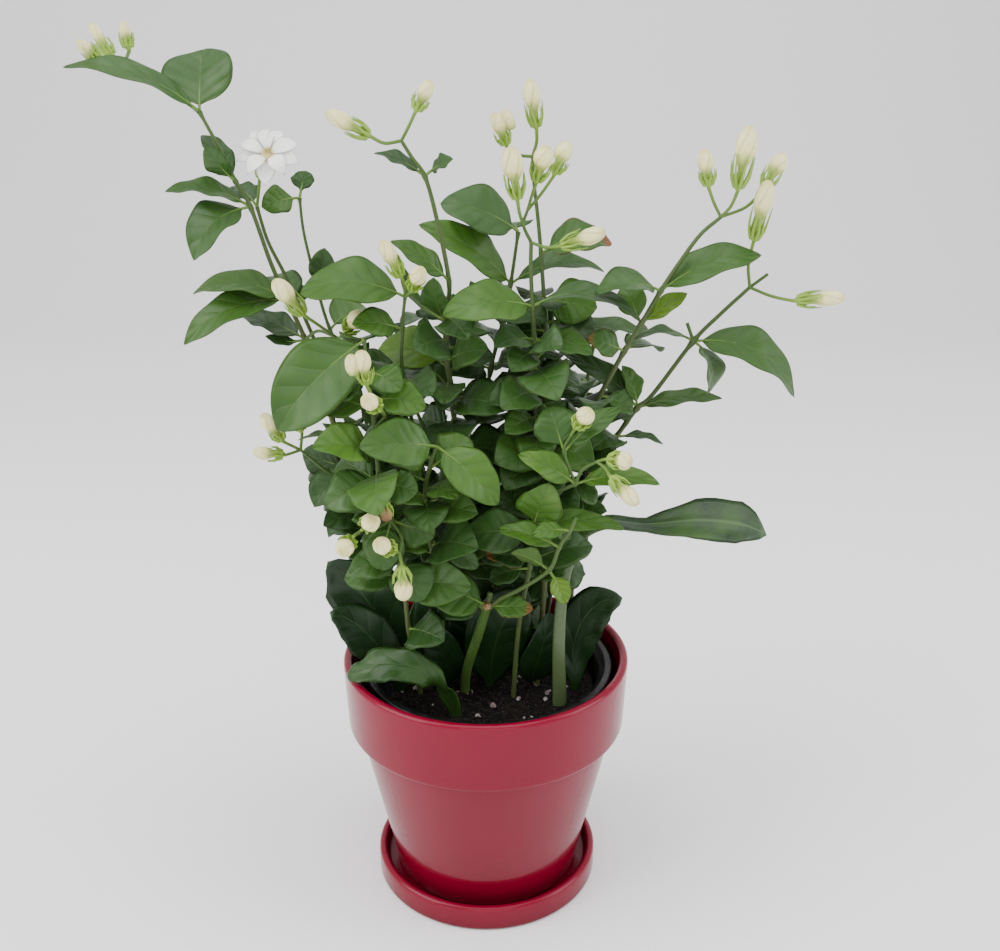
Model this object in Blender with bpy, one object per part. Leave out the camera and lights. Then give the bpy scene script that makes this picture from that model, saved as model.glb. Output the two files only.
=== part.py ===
"""Potted arabian jasmine: a red glazed pot on its saucer, a black grow pot, soil, leafy shoots and buds.

The plan below is in millimetres and the meshes are made in metres. X runs to the right, Y away from
the front, Z up, and the origin is the centre of the saucer's underside.
"""

import math
import random
from collections import namedtuple

import bmesh
import bpy
from mathutils import Matrix, Vector
from mathutils.bvhtree import BVHTree

MM = 0.001
GAP = 0.3

# Driving dimensions of the pottery
SAUCER_RADIUS = 66.3
SAUCER_HEIGHT = 15.0
SAUCER_FLOOR = 6.0
POT_RIM_RADIUS = 82.5
POT_TOP = 145.5
POT_WALL = 5.0
BAND_BOTTOM = 104.5
BAND_BOTTOM_RADIUS = 80.8
BODY_TOP_RADIUS = 74.5
BODY_FOOT_RADIUS = 54.8
POT_FLOOR = 7.0
DRAIN_RADIUS = 7.0

# Driving dimensions of the grow pot and its soil
GROW_POT_X = 1.5
GROW_POT_TOP = 139.0
GROW_POT_LIP_RADIUS = 72.0
GROW_POT_LIP_HEIGHT = 6.0
GROW_POT_NECK_RADIUS = 65.5
GROW_POT_FOOT_RADIUS = 45.0
GROW_POT_WALL = 1.5
GROW_POT_SIDES = 20
SOIL_TOP = 125.0
SOIL_BUMP = 1.4
STEM_HOLE_FLOOR = 112.5
STEM_FOOT = STEM_HOLE_FLOOR + GAP
STEM_HOLE_CLEARANCE = 0.5
STEM_HOLE_SIDES = 5

# Driving dimensions of the plant
BLADE_THICKNESS = 0.7
LEAF_STALK_THICKNESS = 1.5
LEAF_STALK_HALF_WIDTH = 0.8
LEAF_STALK_LENGTH = 5.0
LEAF_WAVE = 0.9
LEAF_FOLD = math.radians(13)
LEAF_ROWS = {56: (0.12, 0.34, 0.6, 0.84), 33: (0.16, 0.45, 0.78), 0: (0.26, 0.7)}
BASAL_THICKNESS = 1.0
BASAL_STALK_THICKNESS = 2.6
BASAL_CUP = 0.16
CLEARANCE = 0.45
FREE_OF_STEM = 6.5
CUP_HEIGHT = 3.0
CUP_RADIUS = 2.5
SEPALS = 5
FLOWER_STALK_RADIUS = 0.85
TUBE_RADIUS = 1.3
BUD_SIDES = 6
BUD_TWIST = math.radians(14)
BUD_DENT = 0.88

Stem = namedtuple("Stem", "foot top route")
Leaf = namedtuple("Leaf", "at to wide faces arch stalk", defaults=(0.1, LEAF_STALK_LENGTH))
Bud = namedtuple("Bud", "name stalk to wide twin", defaults=(None,))
Shoot = namedtuple("Shoot", "name stems leaves buds")
Basal = namedtuple("Basal", "name route wide faces")

# The plan. A stem has its radius at the foot and at the top, and its route. A leaf grows at (stem
# number, place along its route, counted in route points) and reaches "to" from there; "faces" is where
# its upper side looks. A bud has its stalk's points, which end at the calyx, and reaches "to" from there.

LEFT_TALL = Shoot(
    "shoot_left_tall",
    [
        Stem(1.9, 0.9, [(-49, 18, STEM_FOOT), (-49, 18, 128), (-48, 18, 173), (-52, 18, 197), (-64, 18, 226),
                        (-78, 17, 252), (-85, 16, 281), (-91, 15, 307), (-97, 14, 327), (-105, 12, 349),
                        (-112, 10, 369), (-120, 8, 398), (-126, 5, 411), (-131, 4, 424), (-140, 0, 445)]),
        Stem(0.9, 0.8, [(-140, 0, 445), (-159, 10, 456), (-179, 14, 467)]),
        Stem(1.0, 0.8, [(-97, 14, 327), (-88, 4, 334), (-77, -4, 332)]),
        Stem(1.0, 0.8, [(-78, 17, 252), (-86, 4, 254), (-100, -4, 270)]),
    ],
    [
        Leaf((0, 14), (-61, -8, 24), 20, (0, -3, 9), 0.11),
        Leaf((0, 14), (-3, 30, 28), 37, (0, -6, 6), 0.03),
        Leaf((0, 12), (-13, 12, 30), 13, (6, -8, 0), 0.08),
        Leaf((0, 12), (-12, -8, 18), 14, (-5, -8, 2), 0.05),
        Leaf((0, 11), (-41, -6, 11), 17, (0, -3, 9), 0.1),
        Leaf((0, 11), (-29, -12, -25), 29, (-4, -6, 6), 0.2),
        Leaf((0, 9), (-49, -4, 6), 24, (0, -4, 9), 0.16),
        Leaf((0, 9), (-54, -14, -20), 22, (-2, -5, 8), 0.15),
        Leaf((0, 8), (-35, 12, 10), 18, (0, -4, 9), 0.08),
        Leaf((0, 8), (-16, -6, 13), 7, (3, -5, 7), -0.2),
        Leaf((0, 6), (-22, 30, 6), 24, (-1, 2, 9), 0.12),
        Leaf((0, 5), (-18, -14, -18), 22, (-4, -7, 5), 0.1),
        Leaf((0, 5), (-25, 0, 13), 20, (-2, -9, 3), 0.05),
        Leaf((0, 4), (-25, -26, 2), 22, (-1, -7, 7), 0.08),
        Leaf((0, 4), (24, 22, 4), 24, (0, 1, 9), 0.1),
        Leaf((0, 3), (-28, -14, 8), 26, (-1, -5, 8), 0.1),
        Leaf((0, 3), (26, -18, 2), 26, (0, -5, 8), 0.1),
    ],
    [
        Bud("bud_far_left_upper", [(-179, 14, 467), (-184, 14, 470)], (-11, 4, 16), 5.5),
        Bud("bud_far_left_lower", [(-179, 14, 467), (-187, 5, 468)], (-9, -6, 10), 5.5),
        Bud("bud_far_left_single", [(-179, 14, 467), (-177, 18, 473)], (-2, 2, 14), 5),
        Bud("bud_left_upper", [(-77, -4, 332), (-86, -8, 340), (-92, -10, 345)], (-14, -6, 20), 9.5),
        Bud("bud_left_upper_right", [(-77, -4, 332), (-74, -8, 334), (-72, -9, 336)], (10, -9, 12), 10),
        Bud("bud_left_lower_curved", [(-100, -4, 270), (-104, -6, 273), (-108, -8, 276)], (-10, -4, 17), 8),
        Bud("bud_left_lower_flat", [(-100, -4, 270), (-107, -9, 269)], (-17, -4, 3), 7),
        Bud("bud_left_lower_small", [(-100, -4, 270), (-100, 3, 277)], (-3, 3, 11), 6),
    ],
)

LEFT_FLOWER = Shoot(
    "shoot_left_flower",
    [
        Stem(1.6, 1.0, [(-45, 27, STEM_FOOT), (-45, 27, 128), (-54, 28, 160), (-61, 30, 192), (-67, 33, 220),
                        (-73, 34, 245), (-80, 34, 275), (-88, 33, 302), (-96, 32, 325), (-103, 30, 345),
                        (-109, 28, 361), (-116, 26, 378), (-120, 24, 396)]),
        Stem(1.1, 0.8, [(-61, 30, 192), (-62, 41, 225), (-73, 45, 284), (-88, 45, 325), (-94, 46, 348),
                        (-97, 46, 363), (-100, 46, 381), (-101, 46, 398)]),
    ],
    [
        Leaf((1, 7), (-19, -10, -3), 18, (0, -8, 6), 0.08),
        Leaf((1, 7), (3, 8, 14), 13, (0, -8, 4), 0.05),
        Leaf((1, 4), (-7, 4, 22), 15, (-3, -9, 0), 0.08),
        Leaf((1, 4), (-16, -8, -4), 14, (0, -6, 8), 0.08),
        Leaf((1, 3), (20, 26, 6), 26, (1, -2, 9), 0.15),
        Leaf((1, 2), (-22, 26, -4), 26, (-1, 1, 9), 0.14),
        Leaf((0, 12), (-14, 14, 10), 15, (-4, 3, 8), 0.08),
        Leaf((0, 9), (-18, 24, 8), 20, (-2, 2, 9), 0.1),
        Leaf((0, 7), (-28, 24, -4), 25, (-1, 1, 9), 0.12),
        Leaf((0, 5), (-24, 26, -2), 26, (-1, 1, 9), 0.12),
        Leaf((0, 3), (-20, 28, 2), 26, (1, 1, 9), 0.12),
    ],
    [],
)

LEFT_CENTRE = Shoot(
    "shoot_left_centre",
    [
        Stem(1.7, 0.9, [(-18, 10, STEM_FOOT), (-18, 10, 128), (-18, 12, 172), (-17, 8, 236), (-17, 2, 294),
                        (-20, -1, 319), (-20, -3, 341), (-18, -5, 362), (-24, -8, 396), (-29, -9, 415),
                        (-35, -10, 424), (-40, -10, 432)]),
        Stem(1.1, 0.8, [(-17, 8, 236), (-30, -4, 276), (-42, -12, 312), (-42, -14, 339), (-40, -15, 356)]),
    ],
    [
        Leaf((0, 9), (-25, 4, 12), 13, (0, -3, 9), 0.06),
        Leaf((0, 9), (14, -4, 9), 13, (2, -4, 8), 0.05),
        Leaf((0, 7), (-26, -6, 25), 14, (4, -7, 6), 0.1),
        Leaf((0, 6), (-5, -12, 26), 18, (-5, -8, 0), 0.08),
        Leaf((0, 6), (-23, 4, 36), 11, (6, -3, 5), -0.2),
        Leaf((0, 5), (-40, -6, 4), 28, (0, -6, 8), 0.1),
        Leaf((0, 5), (22, -14, 10), 22, (0, -7, 6), 0.1),
        Leaf((0, 4), (-24, 22, 0), 27, (0, 1, 9), 0.14),
        Leaf((0, 4), (27, -20, 5), 28, (0, -5, 8), 0.12),
        Leaf((0, 3.5), (34, -8, 2), 29, (0, -5, 8), 0.14),
        Leaf((0, 3.5), (-34, 6, 6), 29, (0, -4, 9), 0.14),
        Leaf((0, 3), (-30, -8, 4), 28, (0, -5, 8), 0.12),
        Leaf((0, 2.5), (26, -16, 4), 27, (0, -5, 8), 0.12),
        Leaf((0, 2.5), (-26, 22, 8), 26, (-1, 0, 9), 0.12),
        Leaf((1, 4), (-53, -2, 5), 33, (0, -5, 9), 0.14),
        Leaf((1, 3), (-24, -12, 6), 18, (0, -7, 7), 0.1),
        Leaf((1, 2), (-34, 4, 8), 20, (0, -5, 8), 0.12),
        Leaf((1, 2), (16, -22, -2), 24, (0, -6, 7), 0.1),
        Leaf((1, 1), (-36, -6, 2), 27, (0, -5, 8), 0.12),
        Leaf((1, 1), (10, -30, -4), 25, (0, -5, 8), 0.12),
    ],
    [
        Bud("bud_left_centre_side", [(-40, -10, 432), (-48, -12, 431), (-54, -14, 434)], (-21, -6, 12), 8),
        Bud("bud_left_centre_top", [(-40, -10, 432), (-36, -12, 439), (-33, -12, 445)], (8, 0, 15), 7.5),
        Bud("bud_mid_left_tall", [(-40, -15, 356), (-40, -18, 363), (-41, -19, 366)], (-9, -5, 20), 8),
        Bud("bud_mid_left_round", [(-40, -15, 356), (-37, -20, 359), (-36, -23, 361)], (6, -13, 13), 8.5),
    ],
)

CENTRE = Shoot(
    "shoot_centre",
    [
        Stem(1.7, 1.0, [(30, -4, STEM_FOOT), (30, -4, 128), (34, -1, 203), (32, -1, 240), (30, -2, 269),
                        (27, -3, 298), (26, -4, 331), (25, -5, 349), (24, -5, 368), (24, -5, 382)]),
        Stem(1.0, 0.8, [(24, -5, 382), (20, -7, 391), (22, -6, 398)]),
    ],
    [
        Leaf((0, 7), (-47, -18, 2), 27, (0, -6, 7), 0.12),
        Leaf((0, 7), (56, -6, -4), 20, (0, -2, 10), 0.18),
        Leaf((0, 6), (30, -12, -4), 20, (1, -5, 8), 0.12),
        Leaf((0, 6), (-20, -18, 2), 20, (0, -6, 7), 0.1),
        Leaf((0, 5), (20, -14, -14), 18, (3, -8, 4), 0.1),
        Leaf((0, 5), (-24, -18, 5), 25, (-2, -7, 6), 0.1),
        Leaf((0, 4), (-24, -22, 2), 30, (0, -6, 8), 0.12),
        Leaf((0, 4), (24, -18, -6), 28, (0, -6, 8), 0.12),
        Leaf((0, 3), (-26, -14, 2), 26, (0, -6, 7), 0.12),
        Leaf((0, 3), (18, -26, 6), 24, (0, -6, 7), 0.1),
        Leaf((0, 2), (-26, -12, 6), 26, (0, -6, 7), 0.1),
    ],
    [
        Bud("bud_centre_big", [(20, -7, 391), (18, -10, 397), (17, -12, 403)], (-4, -6, 27), 10.5),
        Bud("bud_centre_round", [(22, -6, 398), (24, -7, 405), (26, -8, 411)], (5, -5, 19), 10),
        Bud("bud_centre_right", [(22, -6, 398), (29, -3, 406), (35, 0, 414)], (7, 1, 17), 9),
        Bud("bud_centre_flat", [(24, -5, 382), (31, -8, 380), (38, -12, 381)], (22, -10, 9), 8.5),
    ],
)

CENTRE_BACK = Shoot(
    "shoot_centre_back",
    [
        Stem(1.6, 0.9, [(34, 28, STEM_FOOT), (34, 28, 128), (40, 22, 194), (40, 20, 231), (37, 20, 268),
                        (35, 20, 303), (34, 20, 325), (32, 20, 347), (30, 20, 372), (28, 20, 392),
                        (26, 20, 408), (25, 20, 422)]),
    ],
    [
        Leaf((0, 8), (38, 4, 6), 24, (0, -6, 8), 0.2),
        Leaf((0, 7), (28, -8, -2), 26, (0, -9, 4), 0.1),
        Leaf((0, 7), (-10, 28, -4), 22, (0, 2, 9), 0.12),
        Leaf((0, 6), (56, 6, 3), 15, (0, -3, 9), 0.12, 12),
        Leaf((0, 5), (14, 30, 2), 28, (0, 1, 9), 0.14),
        Leaf((0, 5), (-26, 20, 0), 26, (0, 1, 9), 0.14),
        Leaf((0, 4), (30, 14, 6), 26, (1, -1, 9), 0.12),
        Leaf((0, 4), (-32, 8, 4), 28, (0, -2, 9), 0.12),
        Leaf((0, 3), (14, 30, 4), 28, (0, 1, 9), 0.12),
        Leaf((0, 2), (30, -6, 8), 27, (0, -4, 9), 0.12),
    ],
    [
        Bud("bud_centre_top", [(25, 20, 422), (27, 20, 429), (27, 20, 435)], (-4, -2, 25), 8.5),
        Bud("bud_centre_pair", [(25, 20, 422), (18, 18, 423), (12, 16, 427)], (-7, -4, 17), 7.5, (5, 1, 2)),
    ],
)

CENTRE_LEFT = Shoot(
    "shoot_centre_left",
    [
        Stem(1.6, 0.9, [(4, 30, STEM_FOOT), (4, 30, 128), (6, 30, 189), (0, 30, 240), (-1, 30, 276),
                        (3, 30, 306), (10, 30, 334), (14, 30, 354), (18, 30, 382)]),
    ],
    [
        Leaf((0, 7), (52, 3, 9), 18, (0, -3, 9), 0.14),
        Leaf((0, 7), (-45, -22, 37), 24, (5, -6, 6), 0.08),
        Leaf((0, 8), (-42, -6, 13), 34, (0, -6, 8), 0.1),
        Leaf((0, 8), (-8, 26, -2), 26, (0, 2, 9), 0.15),
        Leaf((0, 6), (-22, 22, 4), 26, (0, 1, 9), 0.12),
        Leaf((0, 6), (30, -14, 6), 27, (0, -4, 9), 0.12),
        Leaf((0, 5), (-34, -10, 6), 28, (0, -5, 8), 0.12),
        Leaf((0, 5), (34, 6, 6), 28, (0, -2, 9), 0.12),
        Leaf((0, 4), (16, 30, -2), 28, (0, 1, 9), 0.14),
        Leaf((0, 4), (-14, -34, 4), 28, (0, -5, 8), 0.12),
        Leaf((0, 3.5), (-38, -4, 4), 29, (0, -4, 9), 0.14),
        Leaf((0, 3.5), (36, -10, 4), 29, (0, -5, 8), 0.14),
        Leaf((0, 2.5), (-34, -12, 4), 28, (0, -5, 8), 0.12),
        Leaf((0, 2.5), (34, -14, 4), 28, (0, -5, 8), 0.12),
        Leaf((0, 1.7), (-28, -16, 10), 27, (0, -7, 7), 0.12),
        Leaf((0, 1.7), (26, -20, 12), 27, (0, -7, 7), 0.12),
    ],
    [],
)

RIGHT = Shoot(
    "shoot_right",
    [
        Stem(1.8, 1.0, [(42, 10, STEM_FOOT), (42, 10, 128), (43, 9, 224), (47, 6, 258), (55, 4, 282),
                        (62, 2, 299), (74, 0, 324), (82, -2, 339), (91, -5, 357), (99, -7, 371),
                        (109, -8, 386), (119, -8, 395)]),
    ],
    [
        Leaf((0, 8), (-35, -6, -3), 26, (0, -4, 9), 0.15),
        Leaf((0, 8), (45, 0, 30), 22, (-4, -5, 7), 0.12),
        Leaf((0, 7), (23, 0, 17), 11, (-3, -7, 6), 0.05),
        Leaf((0, 7), (-8, 12, 20), 16, (-2, -8, 3), 0.08),
        Leaf((0, 6), (-20, -8, 9), 16, (0, -8, 5), 0.08),
        Leaf((0, 6), (22, 22, 0), 22, (2, 1, 9), 0.12),
        Leaf((0, 5), (19, 0, -9), 16, (-2, -5, 8), 0.1),
        Leaf((0, 4), (-14, -24, 6), 24, (0, -6, 8), 0.1),
        Leaf((0, 4), (28, 12, 2), 22, (1, -3, 9), 0.1),
        Leaf((0, 3), (26, -16, 6), 22, (1, -6, 8), 0.1),
        Leaf((0, 2), (24, -10, 10), 22, (1, -6, 8), 0.1),
    ],
    [
        Bud("bud_right_left", [(119, -8, 395), (115, -9, 402), (112, -9, 409)], (-4, -2, 19), 8),
        Bud("bud_right_tall", [(119, -8, 395), (124, -6, 400), (127, -5, 407)], (4, 0, 32), 10.5),
        Bud("bud_right_back", [(119, -8, 395), (133, 0, 399), (142, 5, 407)], (11, 8, 17), 9),
    ],
)

FAR_RIGHT = Shoot(
    "shoot_far_right",
    [
        Stem(1.8, 1.0, [(50, 21, STEM_FOOT), (50, 21, 128), (51, 24, 191), (53, 24, 220), (59, 22, 247),
                        (65, 20, 259), (73, 18, 270), (84, 15, 288), (92, 14, 296), (112, 10, 327),
                        (125, 8, 342), (139, 5, 357)]),
        Stem(0.9, 1.0, [(112, 10, 327), (108, 9, 337)]),
        Stem(0.9, 0.9, [(139, 5, 357), (148, 5, 364)]),
    ],
    [
        Leaf((0, 9), (57, -8, -26), 30, (1, -5, 8), 0.22),
        Leaf((0, 9), (8, -12, -26), 24, (7, -5, 3), 0.22),
        Leaf((0, 9), (-33, 4, -6), 13, (0, -2, 10), 0.12),
        Leaf((0, 7), (45, -6, 10), 15, (0, -3, 9), 0.05),
        Leaf((0, 7), (-8, 6, 23), 14, (5, -7, 2), 0.1),
        Leaf((0, 7), (-36, 8, 34), 17, (5, -6, 6), 0.1),
        Leaf((0, 6), (27, -2, -3), 9, (0, -2, 10), 0.1),
        Leaf((0, 5), (12, 22, -2), 20, (1, 1, 9), 0.1),
        Leaf((0, 4), (8, 30, 4), 26, (0, 1, 9), 0.12),
        Leaf((0, 3), (14, 28, 2), 26, (0, 1, 9), 0.12),
    ],
    [
        Bud("bud_far_right_upper", [(139, 5, 357), (137, 3, 369), (138, 0, 381)], (4, -6, 32), 9.5),
        Bud("bud_far_right_flat", [(139, 5, 357), (150, 2, 353), (161, 0, 351)], (25, -6, 3), 8),
    ],
)

STUMP = Shoot(
    "shoot_stump",
    [
        Stem(3.0, 2.8, [(-12, -11, STEM_FOOT), (-12, -11, 128), (-10, -17, 145), (-4, -24, 168), (1, -30, 189)]),
        Stem(1.4, 0.9, [(1, -30, 186), (8, -32, 194), (19, -36, 202), (34, -42, 216), (39, -46, 231),
                        (44, -50, 242), (47, -52, 250)]),
        Stem(1.7, 1.5, [(1, -30, 187), (3, -28, 196)]),
        Stem(1.5, 1.3, [(1, -30, 185), (-4, -32, 192)]),
    ],
    [
        Leaf((0, 4), (25, -4, 3), 14, (0, -7, 7), 0.05),
        Leaf((0, 4), (-36, -6, 14), 27, (0, -6, 8), 0.12),
        Leaf((1, 3), (-20, 2, 10), 18, (2, 7, 5), 0.08),
        Leaf((1, 3), (9, -8, -16), 12, (3, -7, 5), 0.1),
        Leaf((1, 4), (-32, 0, 11), 14, (0, -6, 8), 0.1),
        Leaf((1, 5), (-19, -8, 2), 11, (0, -6, 8), 0.1),
    ],
    [],
)

FRONT_RIGHT = Shoot(
    "shoot_front_right",
    [
        Stem(1.6, 1.0, [(16, -18, STEM_FOOT), (16, -18, 128), (19, -20, 174), (25, -26, 214), (26, -32, 238),
                        (32, -36, 251), (39, -38, 259), (47, -40, 264)]),
        Stem(0.9, 0.8, [(47, -40, 264), (41, -38, 281), (44, -40, 290)]),
        Stem(0.9, 0.8, [(47, -40, 264), (50, -44, 273), (57, -48, 279)]),
    ],
    [
        Leaf((0, 4), (47, -10, 3), 15, (0, -5, 8), 0.1),
        Leaf((0, 4), (6, -8, 31), 25, (0, -9, 2), 0.08),
        Leaf((0, 7), (-29, -4, 18), 15, (3, -8, 5), 0.1),
        Leaf((0, 7), (43, -4, 3), 15, (0, -5, 8), 0.12),
        Leaf((1, 1), (28, 6, 22), 14, (-5, -6, 5), 0.08),
        Leaf((1, 1), (-8, 8, 22), 24, (0, -9, 3), 0.08),
        Leaf((0, 3), (-24, -8, 8), 18, (0, -6, 7), 0.1),
    ],
    [
        Bud("bud_front_right_upper", [(44, -40, 290), (46, -41, 294)], (7, -6, 12), 9.5),
        Bud("bud_front_right_round", [(57, -48, 279), (61, -50, 281)], (13, -6, 1), 9.5),
        Bud("bud_front_right_lower", [(57, -48, 279), (61, -52, 277), (63, -54, 274)], (14, -8, -13), 8),
    ],
)

FRONT = Shoot(
    "shoot_front",
    [
        Stem(1.6, 1.0, [(-24, -6, STEM_FOOT), (-24, -6, 128), (-25, -18, 188), (-29, -30, 228),
                        (-31, -36, 254), (-28, -40, 272), (-24, -42, 285)]),
    ],
    [
        Leaf((0, 6), (-37, -10, 15), 26, (0, -8, 6), 0.12),
        Leaf((0, 6), (32, -10, -27), 24, (3, -8, 5), 0.12),
        Leaf((0, 5), (22, 6, 14), 22, (1, -7, 6), 0.1),
        Leaf((0, 4), (4, -26, -6), 24, (0, -4, 9), 0.1),
        Leaf((0, 3), (-20, -12, -4), 18, (0, -7, 7), 0.1),
        Leaf((0, 3), (26, -8, -12), 13, (1, -7, 6), 0.1, 12),
        Leaf((0, 2), (20, -18, 2), 25, (0, -6, 7), 0.1),
    ],
    [],
)

FRONT_LEFT = Shoot(
    "shoot_front_left",
    [
        Stem(1.6, 0.9, [(-38, -14, STEM_FOOT), (-38, -14, 128), (-42, -30, 175), (-44, -40, 222),
                        (-48, -45, 246), (-53, -47, 268), (-55, -42, 295), (-58, -35, 320), (-60, -30, 337)]),
        Stem(0.9, 0.8, [(-48, -45, 246), (-57, -53, 244), (-62, -56, 245)]),
        Stem(0.9, 0.8, [(-48, -45, 246), (-42, -54, 240), (-43, -58, 233)]),
        Stem(0.9, 0.8, [(-55, -42, 295), (-49, -46, 302)]),
    ],
    [
        Leaf((0, 8), (-45, -12, -43), 40, (-3, -8, 4), 0.12),
        Leaf((0, 8), (-8, 24, 6), 20, (0, 1, 9), 0.1),
        Leaf((0, 6), (26, -8, -16), 24, (3, -7, 5), 0.1),
        Leaf((0, 5), (-27, -10, -9), 24, (0, -8, 6), 0.1),
        Leaf((0, 5), (20, -8, 0), 20, (0, -9, 4), 0.1),
        Leaf((0, 4), (-8, -14, -22), 22, (-1, -9, 3), 0.1),
        Leaf((0, 4), (23, -2, -8), 20, (1, -9, 3), 0.08),
        Leaf((0, 3), (-26, -12, -2), 20, (0, -7, 6), 0.1),
        Leaf((0, 3), (14, -20, -10), 25, (0, -6, 7), 0.1),
        Leaf((0, 2), (22, -18, 4), 26, (0, -6, 7), 0.1),
    ],
    [
        Bud("bud_front_left_upper", [(-62, -56, 245), (-60, -58, 248)], (6, -14, 9), 9.5),
        Bud("bud_front_left_lower", [(-62, -56, 245), (-67, -59, 242)], (-3, -16, -1), 9.5),
        Bud("bud_front_left_right", [(-43, -58, 233), (-45, -61, 236)], (-8, -12, 9), 9),
        Bud("bud_front_left_hanging", [(-43, -58, 233), (-42, -60, 228)], (1, -4, -19), 9.5),
        Bud("bud_mid_pair", [(-49, -46, 302), (-54, -49, 312), (-57, -50, 319)], (-2, -4, 19), 8.5, (-5, -1, -1)),
        Bud("bud_mid_round", [(-49, -46, 302), (-50, -52, 307), (-51, -55, 309)], (-5, -13, 9), 8.5),
        Bud("bud_dried", [(-53, -47, 268), (-51, -55, 264), (-50, -58, 262)], (2, -8, -8), 6.5),
    ],
)

BACK_LEFT = Shoot(
    "shoot_back_left",
    [
        Stem(1.6, 0.9, [(-22, 48, STEM_FOOT), (-22, 48, 128), (-32, 60, 200), (-42, 66, 245), (-48, 70, 285),
                        (-53, 73, 318)]),
    ],
    [
        Leaf((0, 5), (-34, 18, 4), 26, (-1, 2, 9), 0.14),
        Leaf((0, 5), (28, 22, 2), 26, (1, 2, 9), 0.14),
        Leaf((0, 4), (-16, 34, 4), 28, (0, 3, 9), 0.14),
        Leaf((0, 4), (-28, -12, 10), 24, (-1, 0, 9), 0.12),
        Leaf((0, 3), (26, 26, -2), 28, (1, 2, 9), 0.14),
        Leaf((0, 3), (-30, 20, -4), 28, (-1, 2, 9), 0.14),
        Leaf((0, 2), (-6, 36, 2), 28, (0, 3, 9), 0.12),
        Leaf((0, 2), (34, -8, 4), 29, (0, -4, 9), 0.12),
        Leaf((0, 1.5), (-30, -10, 10), 28, (0, -5, 8), 0.12),
    ],
    [],
)

BACK_RIGHT = Shoot(
    "shoot_back_right",
    [
        Stem(1.6, 0.9, [(22, 50, STEM_FOOT), (22, 50, 128), (38, 58, 200), (50, 62, 240), (58, 66, 280),
                        (64, 70, 312)]),
    ],
    [
        Leaf((0, 5), (34, 20, 2), 26, (1, 2, 9), 0.14),
        Leaf((0, 5), (-30, 22, 4), 26, (-1, 2, 9), 0.14),
        Leaf((0, 4), (14, 36, 2), 28, (0, 3, 9), 0.14),
        Leaf((0, 4), (28, -8, 10), 24, (1, 0, 9), 0.12),
        Leaf((0, 3), (-26, 26, 0), 28, (-1, 2, 9), 0.14),
        Leaf((0, 3), (28, 22, -2), 28, (1, 2, 9), 0.14),
        Leaf((0, 2), (4, 38, 2), 28, (0, 3, 9), 0.12),
        Leaf((0, 2), (-34, -10, 4), 29, (0, -4, 9), 0.12),
        Leaf((0, 1.5), (30, -10, 10), 28, (0, -5, 8), 0.12),
    ],
    [],
)

SHOOTS = [LEFT_TALL, LEFT_FLOWER, LEFT_CENTRE, CENTRE, CENTRE_BACK, CENTRE_LEFT, RIGHT, FAR_RIGHT,
          STUMP, FRONT_RIGHT, FRONT, FRONT_LEFT, BACK_LEFT, BACK_RIGHT]

# A basal leaf has its route, its whole width at each route point, and where its upper side looks there.
BASALS = [
    Basal("basal_leaf_right_long",
          [(42, -26, STEM_FOOT), (42, -26, 128), (41, -24, 164), (43, -17, 192), (47, -13, 210), (54, -11, 223),
           (67, -12, 231), (88, -14, 230), (114, -20, 235), (136, -25, 235), (151, -28, 230)],
          [6, 8, 7, 6.5, 6, 6, 9, 10, 26, 28, 4],
          [(0, -9, 0), (0, -9, 0), (0, -9, 2), (0, -9, 2), (0, -9, 3), (-4, -7, 5), (0, -6, 7), (0, -5, 8),
           (0, -6, 8), (0, -6, 8), (0, -6, 8)]),
    Basal("basal_leaf_right_inner",
          [(52, -8, STEM_FOOT), (52, -8, 128), (51, -3, 146), (56, 0, 163), (66, 2, 174), (79, 4, 177)],
          [5, 6, 22, 28, 24, 5],
          [(0, -9, 0), (0, -9, 1), (-2, -9, 3), (-3, -8, 4), (-3, -7, 6), (-2, -6, 8)]),
    Basal("basal_leaf_middle",
          [(2, -6, STEM_FOOT), (2, -6, 128), (4, -8, 146), (8, -10, 164), (15, -10, 178), (24, -8, 188)],
          [5, 7, 32, 38, 30, 5],
          [(0, -9, 0), (0, -9, 1), (0, -9, 3), (1, -9, 3), (0, -9, 3), (0, -9, 3)]),
    Basal("basal_leaf_over_rim",
          [(-17, -38, STEM_FOOT), (-17, -38, 128), (-24, -43, 147), (-36, -45, 158), (-53, -43, 160),
           (-67, -39, 154), (-77, -35, 148)],
          [5, 7, 16, 22, 28, 20, 4],
          [(0, -9, 0), (0, -9, 1), (-6, -5, 5), (-3, -6, 7), (-2, -6, 7), (-3, -6, 7), (-4, -5, 7)]),
    Basal("basal_leaf_left_upper",
          [(-47, 2, STEM_FOOT), (-47, 2, 128), (-54, -3, 154), (-65, -8, 178), (-76, -12, 197), (-87, -16, 209)],
          [5, 7, 28, 40, 34, 5],
          [(0, -9, 0), (0, -9, 1), (-2, -9, 3), (-2, -9, 3), (-2, -9, 3), (-2, -9, 3)]),
    Basal("basal_leaf_left_lower",
          [(-49, -12, STEM_FOOT), (-49, -12, 128), (-56, -17, 150), (-66, -20, 166), (-76, -22, 176),
           (-86, -24, 182)],
          [5, 7, 20, 28, 22, 5],
          [(0, -9, 0), (0, -9, 1), (-1, -8, 5), (-1, -7, 6), (-1, -7, 7), (-1, -6, 8)]),
    Basal("basal_leaf_inner_left",
          [(-28, 0, STEM_FOOT), (-28, 0, 128), (-30, -3, 150), (-32, -7, 172), (-34, -8, 194)],
          [5, 8, 20, 20, 5],
          [(0, -9, 0), (0, -9, 1), (0, -9, 2), (0, -9, 2), (0, -9, 2)]),
]

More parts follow.
